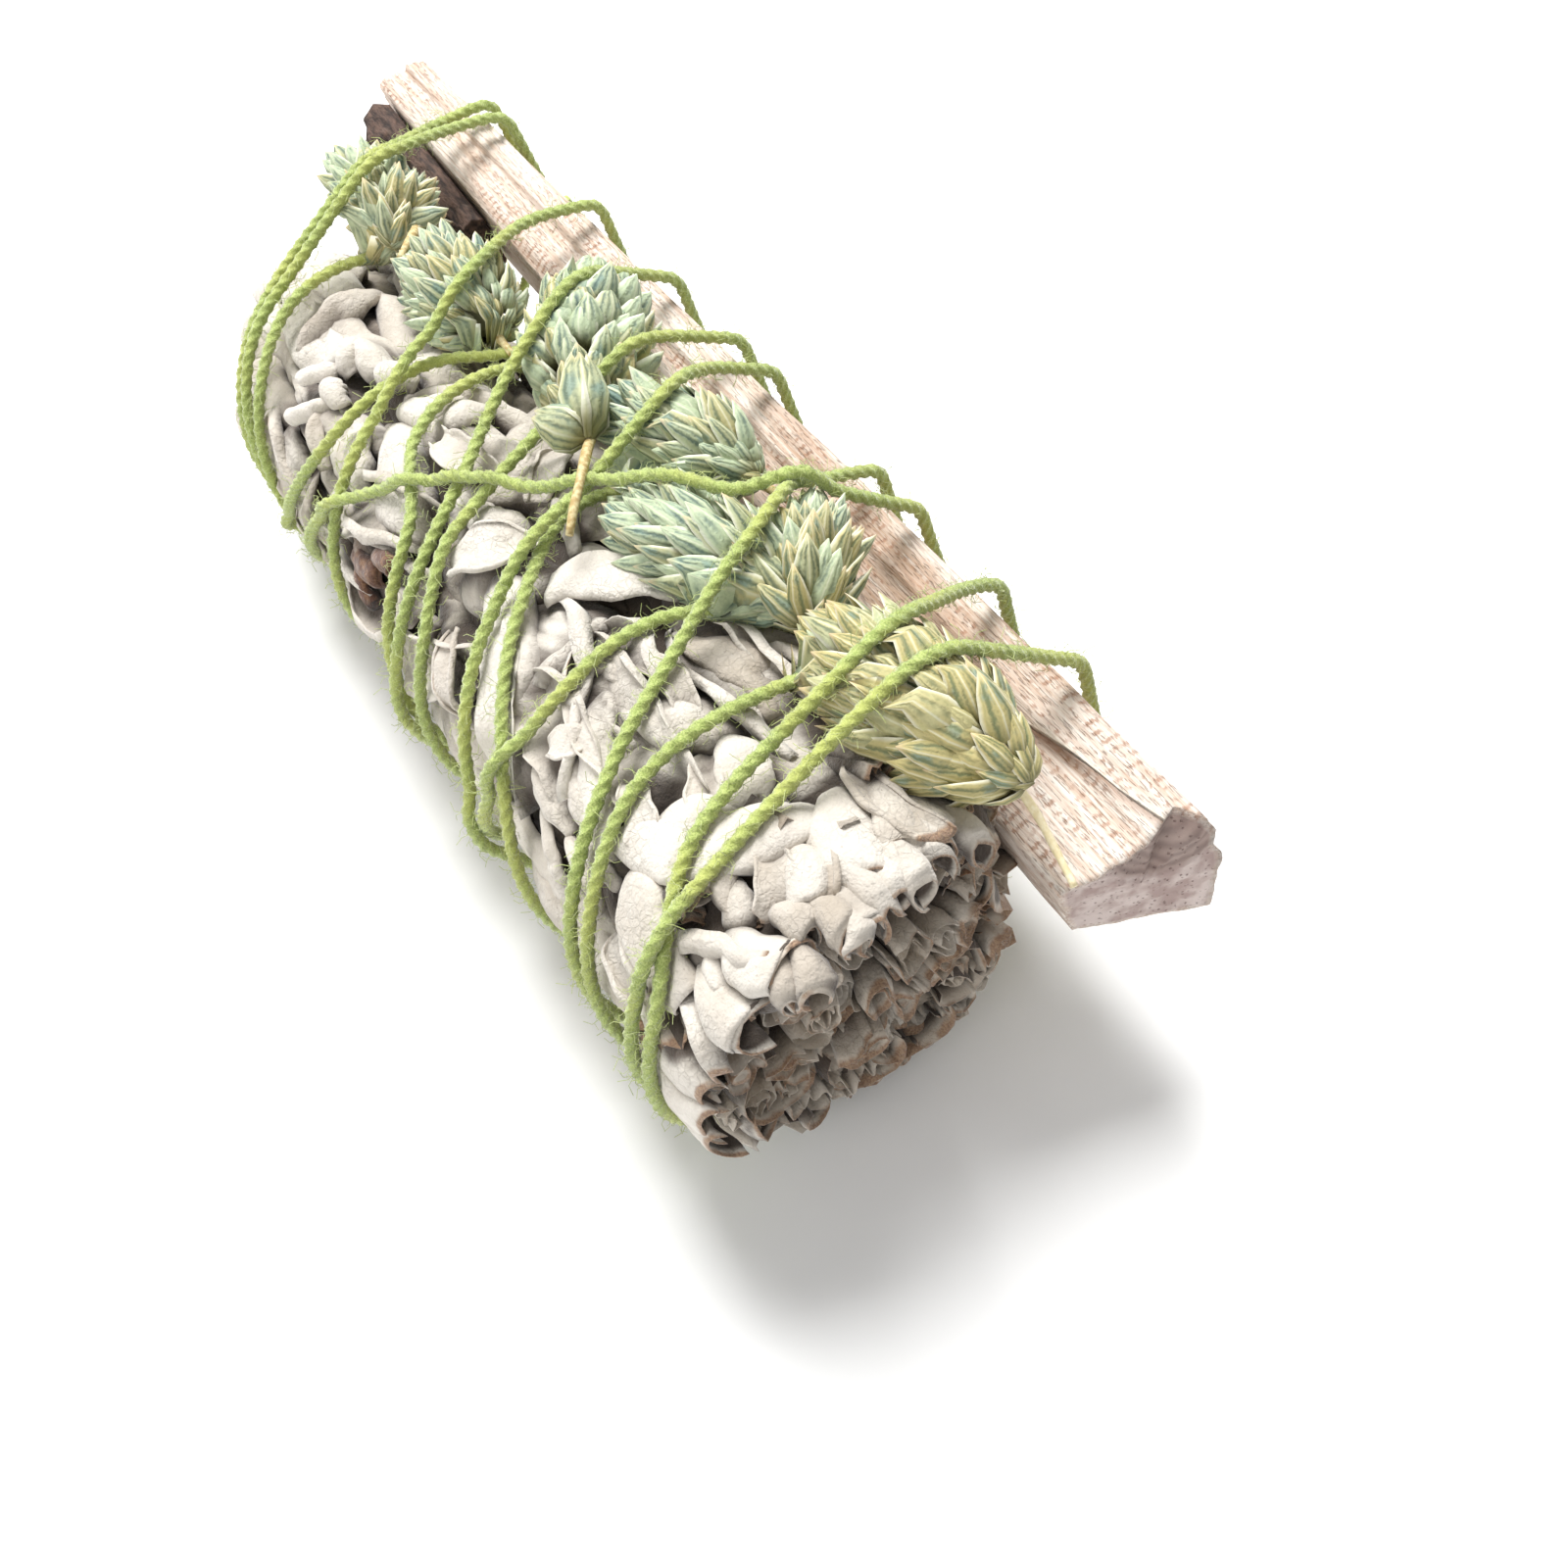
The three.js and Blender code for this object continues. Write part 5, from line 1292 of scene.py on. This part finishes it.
# A net round the sage holds how far out the leaves reach in each cell, and the painted shade follows from
# it.
relief = np.zeros((RELIEF_ROWS, RELIEF_COLUMNS))
for heap in heaps:
    row, column, radius = relief_cells(np.concatenate(heap.points))
    np.maximum.at(relief, (row, column), radius)
relief = np.maximum.reduce([np.roll(relief, shift, axis) for axis in (0, 1) for shift in (-1, 0, 1)])
relief = sum(np.roll(relief, shift, axis) for axis in (0, 1) for shift in (-1, 0, 1)) / 6

for number, heap in enumerate(heaps[:6], start=1):
    heap.finish(f"sage_sprig_{number}_leaves", f"sage_sprig_{number}", leaf)
heaps[6].finish("sage_sprig_middle_leaves", "sage_sprig_middle", leaf)


# The canary grass heads: dried flower heads of boat-shaped scales that lap over each other in a spiral,
# on a thin stalk. Each scale is keeled and pointed, papery and pale at its edges, with dark blue-green
# nerves. The heads lie in the groove between the sage and the stick, held down by the outer winding.
SCALE_LENGTH = 5.8
SCALE_WIDTH = 3.5
SCALE_STEPS = [0, 0.2, 0.48, 0.76, 1.0]
SCALE_OUTLINE = [0.3, 0.9, 1.0, 0.62, 0.03]
SCALE_COLUMNS = 5

u = np.array(SCALE_STEPS)[:, None]
v = np.linspace(-1, 1, SCALE_COLUMNS)[None, :]
outline = np.array(SCALE_OUTLINE)[:, None]
aside = v * (1 - 0.12 * v * v) * outline * SCALE_WIDTH / 2
keel = (1 - np.abs(v) ** 1.4) * outline * 0.95
arch = 0.9 * np.sin(math.pi * u * 0.9) - 0.5 * u + 0.7 * u ** 4
scale_sheet = in_space(u * SCALE_LENGTH - 0.5, aside, keel + arch)
scale_points, scale_faces = shell(scale_sheet, 0.14)
scale_marks = {
    "along": np.tile(np.repeat(u.ravel(), SCALE_COLUMNS), 2),
    "across": np.tile(v.ravel(), 2 * len(SCALE_STEPS)),
}
husk = Finish("canary_grass", roughness=0.66)
scale = make_piece("scale", scale_points - BUNDLE_ORIGIN, scale_faces, husk, scale_marks)

along = husk.attribute("along")
aside = husk.node("ShaderNodeMath", {"operation": "ABSOLUTE"}, {0: husk.attribute("across")})
pick = husk.attribute("pick")
ripe = husk.attribute("ripe")
streak = husk.noise(0.3, 3.0)
patch = husk.noise(1.8)
yellow = (ripe * 1.0 + (pick - 0.5) * 1.0 + (patch - 0.5) * 0.6).ramp(0.05, 0.95)
fine_lines = (aside * 16.0 + pick * 6.0 + streak * 4.0).sine() * 0.5 + 0.5
band = aside.ramp(0.06, 0.24) * aside.ramp(0.86, 0.55) * along.ramp(1.0, 0.8)
dark = band * (fine_lines * 0.7 + 0.22) * (patch * 1.1 + pick * 0.5 - 0.25).ramp(0.2, 0.62)
patina = husk.noise(2.4).ramp(0.5, 0.64)
husk.colour = husk.mix(yellow, "#c0cda9", "#c8ba80")
husk.coat(streak.ramp(0.35, 0.7) * 0.35, husk.mix(yellow, "#98ab8d", "#b3aa70"))
husk.coat(patina * band * pick.ramp(0.15, 0.55) * 0.75, "#789a96")
husk.coat(dark, husk.mix(yellow, "#4a625f", "#6c7651"))
husk.coat(aside.ramp(0.74, 1.0) * 0.75, "#eeeedd")
husk.coat(aside.ramp(0.09, 0.0) * 0.55, "#e6e7cf")
husk.coat(along.ramp(0.86, 1.0) * pick.ramp(0.3, 0.6) * 0.7, "#d6bd98")
# Painted shade: each scale darkens towards its foot, where the scale below covers it; the head's core, which
# has no along mark, is darkened in full.
husk.coat(along.ramp(0.42, 0.02) * 0.85, "#7f7a50")
stalk_grain = husk.noise(0.5, 3.0).ramp(0.35, 0.7)
pale_straw = husk.mix(stalk_grain, "#ecdcae", "#fbf0cf")
husk.coat(husk.attribute("stalk"), husk.mix(ripe, husk.mix(stalk_grain, "#b0965f", "#dccf9f"), pale_straw))
husk.close(fine_lines * band * -0.5 + streak * 0.4, 0.12)

# The tree sets the scales round the core on a spiral, each with its own lean, turn and size, closed at the
# tip and small at the foot.
HEAD_SIZES = {
    "Scales": 66, "Half Length": 0.01, "Core Radius": 0.0035, "Ripeness": 0.2, "Seed": 1, "Openness": 1.0,
    "Scale Length": 1.0, "Scale Width": 1.0, "Material": husk.material,
}
HEAD_LOOKS = [
    # scale length and width against the usual, and how far the scales stand open
    (0.9, 0.9, 0.95), (1.1, 0.95, 1.35), (0.85, 0.85, 1.0), (0.9, 1.15, 0.95),
    (1.1, 0.95, 0.9), (1.15, 0.95, 0.8), (1.15, 0.95, 1.0), (1.25, 1.05, 0.85),
]
GOLDEN_ANGLE = math.pi * (3 - math.sqrt(5))
sprouting = Growth("grass_head", HEAD_SIZES)
half = sprouting.given("Half Length")
core_radius = sprouting.given("Core Radius")
dots = sprouting.step("Points", Count=sprouting.given("Scales"))
share = (sprouting.step("InputIndex") + 0.5) / sprouting.given("Scales")


def joined(x, y, z):
    return sprouting.node("ShaderNodeCombineXYZ", None, {0: x, 1: y, 2: z})


def rotation(x, y, z):
    return sprouting.node("FunctionNodeEulerToRotation", None, {0: joined(x, y, z)})


spot = share * 1.9 - 1.0
surface = (1 - spot * spot) ** 0.5 * core_radius - 0.0004
turn = sprouting.step("InputIndex") * GOLDEN_ANGLE + sprouting.draw(-0.35, 0.35, 1)
place = joined(spot * half, surface * turn.cosine(), surface * turn.sine())
dots = sprouting.step("SetPosition", Geometry=dots, Position=place)
closing = share * share * -0.68 + share ** 8.0 * -0.4 + 0.78
lean = (closing + sprouting.draw(-0.25, 0.25, 2)) * sprouting.given("Openness")
facing = rotation(sprouting.draw(-0.5, 0.5, 3), lean * -1, sprouting.draw(-0.2, 0.2, 4))
facing = sprouting.turned(facing, rotation(turn - math.pi / 2, 0.0, 0.0), "GLOBAL")
small_at_foot = (1 - share) ** 6.0 * -0.38 + (1 - share) ** 24.0 * -0.3 + 1.0
size = sprouting.draw(0.7, 1.15, 5) * (share * share * -0.3 + 1.0) * small_at_foot
wide = size * sprouting.given("Scale Width")
size = joined(size * sprouting.given("Scale Length"), wide, wide)
scales = sprouting.given("Geometry")
scales = sprouting.step("InstanceOnPoints", Points=dots, Instance=scales, Rotation=facing, Scale=size)
scales = sprouting.mark(scales, "INSTANCE", "pick", sprouting.draw(0.0, 1.0, 6))
scales = sprouting.mark(scales, "INSTANCE", "ripe", sprouting.given("Ripeness") + (0.5 - share) * 0.5)
core = sprouting.step("MeshUVSphere", Segments=12, Rings=8, Radius=1.0)
size = joined(half * 0.85, core_radius * 0.85, core_radius * 0.85)
sprouting.end(sprouting.step("Transform", Geometry=core, Scale=size), scales)


def head_place(middle, yaw, pitch):
    """Turns a head that points along X the way it lies, tip towards the far end."""
    sideways = Matrix.Rotation(math.pi + math.radians(yaw), 4, "Z")
    return Matrix.Translation(middle) @ (sideways @ Matrix.Rotation(-math.radians(pitch), 4, "Y"))


for number, (head, look) in enumerate(zip(HEADS, HEAD_LOOKS), start=1):
    *middle, half_length, radius, yaw, pitch, ripeness = head
    long, wide, openness = look
    reach = 0.58 * SCALE_LENGTH * long * min(openness, 1.1)
    shrink = min(max((half_length - 3.6 * long) / (0.84 * half_length), 0.45), 0.82)
    sizes = {
        **HEAD_SIZES, "Scales": round(70 + 12 * half_length), "Half Length": half_length * shrink * 0.001,
        "Core Radius": max(radius - reach, 1.5) * 0.001, "Ripeness": ripeness, "Seed": 10 * number,
        "Openness": openness, "Scale Length": long, "Scale Width": wide,
    }
    head = sprouting.grow(scale, sizes, f"canary_grass_head_{number}")
    place = head_place(middle, yaw, pitch)
    back = Vector((-(1 - shrink) * half_length * 0.45, 0, 0))
    points = np.array([place @ (vertex.co * 1000 + back) for vertex in head.data.vertices])
    points = put(press(points, strand, 1.5, bow=0.9))
    head.data.vertices.foreach_set("co", points.ravel().astype(np.float32))
    head.data.update()
    dress(head, f"canary_head_{number}")
bpy.data.objects.remove(scale)

# Two rounder spikelets stand apart at the foot of the fourth head, each of four glumes that close.
SPIKELETS = [
    # foot, tip, how wide and how deep against the usual scale
    ((9.2, 4.4, 20.8), (1.8, 8.0, 23.4), 1.5, 1.5), ((9.2, 4.2, 20.6), (5.0, 1.0, 21.6), 1.35, 1.4),
]
GLUME_TURNS = (180, -62, 62, 0)
points, faces, marks = [], [], {"along": [], "across": [], "pick": [], "ripe": []}
for foot, tip, wide, deep in SPIKELETS:
    axis = np.subtract(tip, foot)
    long = np.linalg.norm(axis)
    axis = axis / long
    for turn in GLUME_TURNS:
        up = np.cross(np.cross(axis, [0.1, 0.1, 1.0]), axis)
        up /= np.linalg.norm(up)
        left = np.cross(up, axis)
        cosine, sine = math.cos(math.radians(turn)), math.sin(math.radians(turn))
        up, left = up * cosine + left * sine, left * cosine - up * sine
        glume = scale_points * [long / SCALE_LENGTH, wide * (0.8 if turn == 0 else 1.0), deep]
        glume = foot + glume[:, :1] * axis + glume[:, 1:2] * left + glume[:, 2:] * up
        faces.append(scale_faces + sum(map(len, points)))
        points.append(glume)
        for key, value in (*scale_marks.items(), ("pick", 0.45), ("ripe", 0.5)):
            marks[key].append(np.broadcast_to(value, len(glume)))
marks = {key: np.concatenate(value) for key, value in marks.items()}
points = press(np.concatenate(points), strand, 1.5, bow=0.9)
spikelets = make_piece("canary_grass_spikelets", points, np.concatenate(faces), husk, marks)
dress(spikelets, "canary_head_4")

# The stalks: thin straw-coloured stems, a little thicker at the joints, cut off with scissors. Most are
# short and hidden; three show, one over the sage, one by the far heads and one down on the wood.
SHOWN_STALKS = {
    2: [(-34.6, 6.9, 16.6), (-31.3, 5.0, 18.0), (-28.5, 2.7, 18.3)],
    4: [(5.0, 8.3, 18.6), (9.8, 4.2, 20.4), (14.3, 1.1, 21.2), (17.7, -1.7, 20.9), (18.8, -2.7, 20.0)],
    8: [(56.9, 14.4, 15.5), (59.5, 15.4, 12.5), (62.0, 15.3, 11.0), (65.4, 14.6, 10.3)],
}
STALK_STEPS = 22
step_share = np.linspace(0, 1, STALK_STEPS)
ring = np.linspace(0, 2 * math.pi, 8, endpoint=False)[None, :, None]
for number, (*middle, half_length, radius, yaw, pitch, ripeness) in enumerate(HEADS, start=1):
    is_on_wood = number == 8
    place = head_place(middle, yaw, pitch)
    hidden = [place @ Vector((-0.5 * half_length, 0, 0)), place @ Vector((-1.1 * half_length, 0, -1.2))]
    line = smoothed(even_steps(SHOWN_STALKS.get(number, hidden), STALK_STEPS), 4)
    ahead = np.gradient(line, axis=0)
    ahead /= np.linalg.norm(ahead, axis=1, keepdims=True)
    side = np.cross(ahead, [0.1, 0.2, 1.0])
    side /= np.linalg.norm(side, axis=1, keepdims=True)
    up = np.cross(side, ahead)
    thick = between(0.4, 0.3, step_share) if is_on_wood else between(0.62, 0.36, step_share)
    thick = thick * (1 + 0.06 * np.sin(np.arange(STALK_STEPS) * 0.9 + number))
    out = side[:, None] * np.cos(ring) + up[:, None] * np.sin(ring)
    points, faces = closed_loft(line[:, None] + thick[:, None, None] * out, line[[0, -1]])
    marks = {"stalk": np.ones(len(points)), "ripe": np.full(len(points), float(is_on_wood))}
    stalk = make_piece(f"canary_grass_stalk_{number}", points, faces, husk, marks)
    dress(stalk, f"canary_head_{number}")
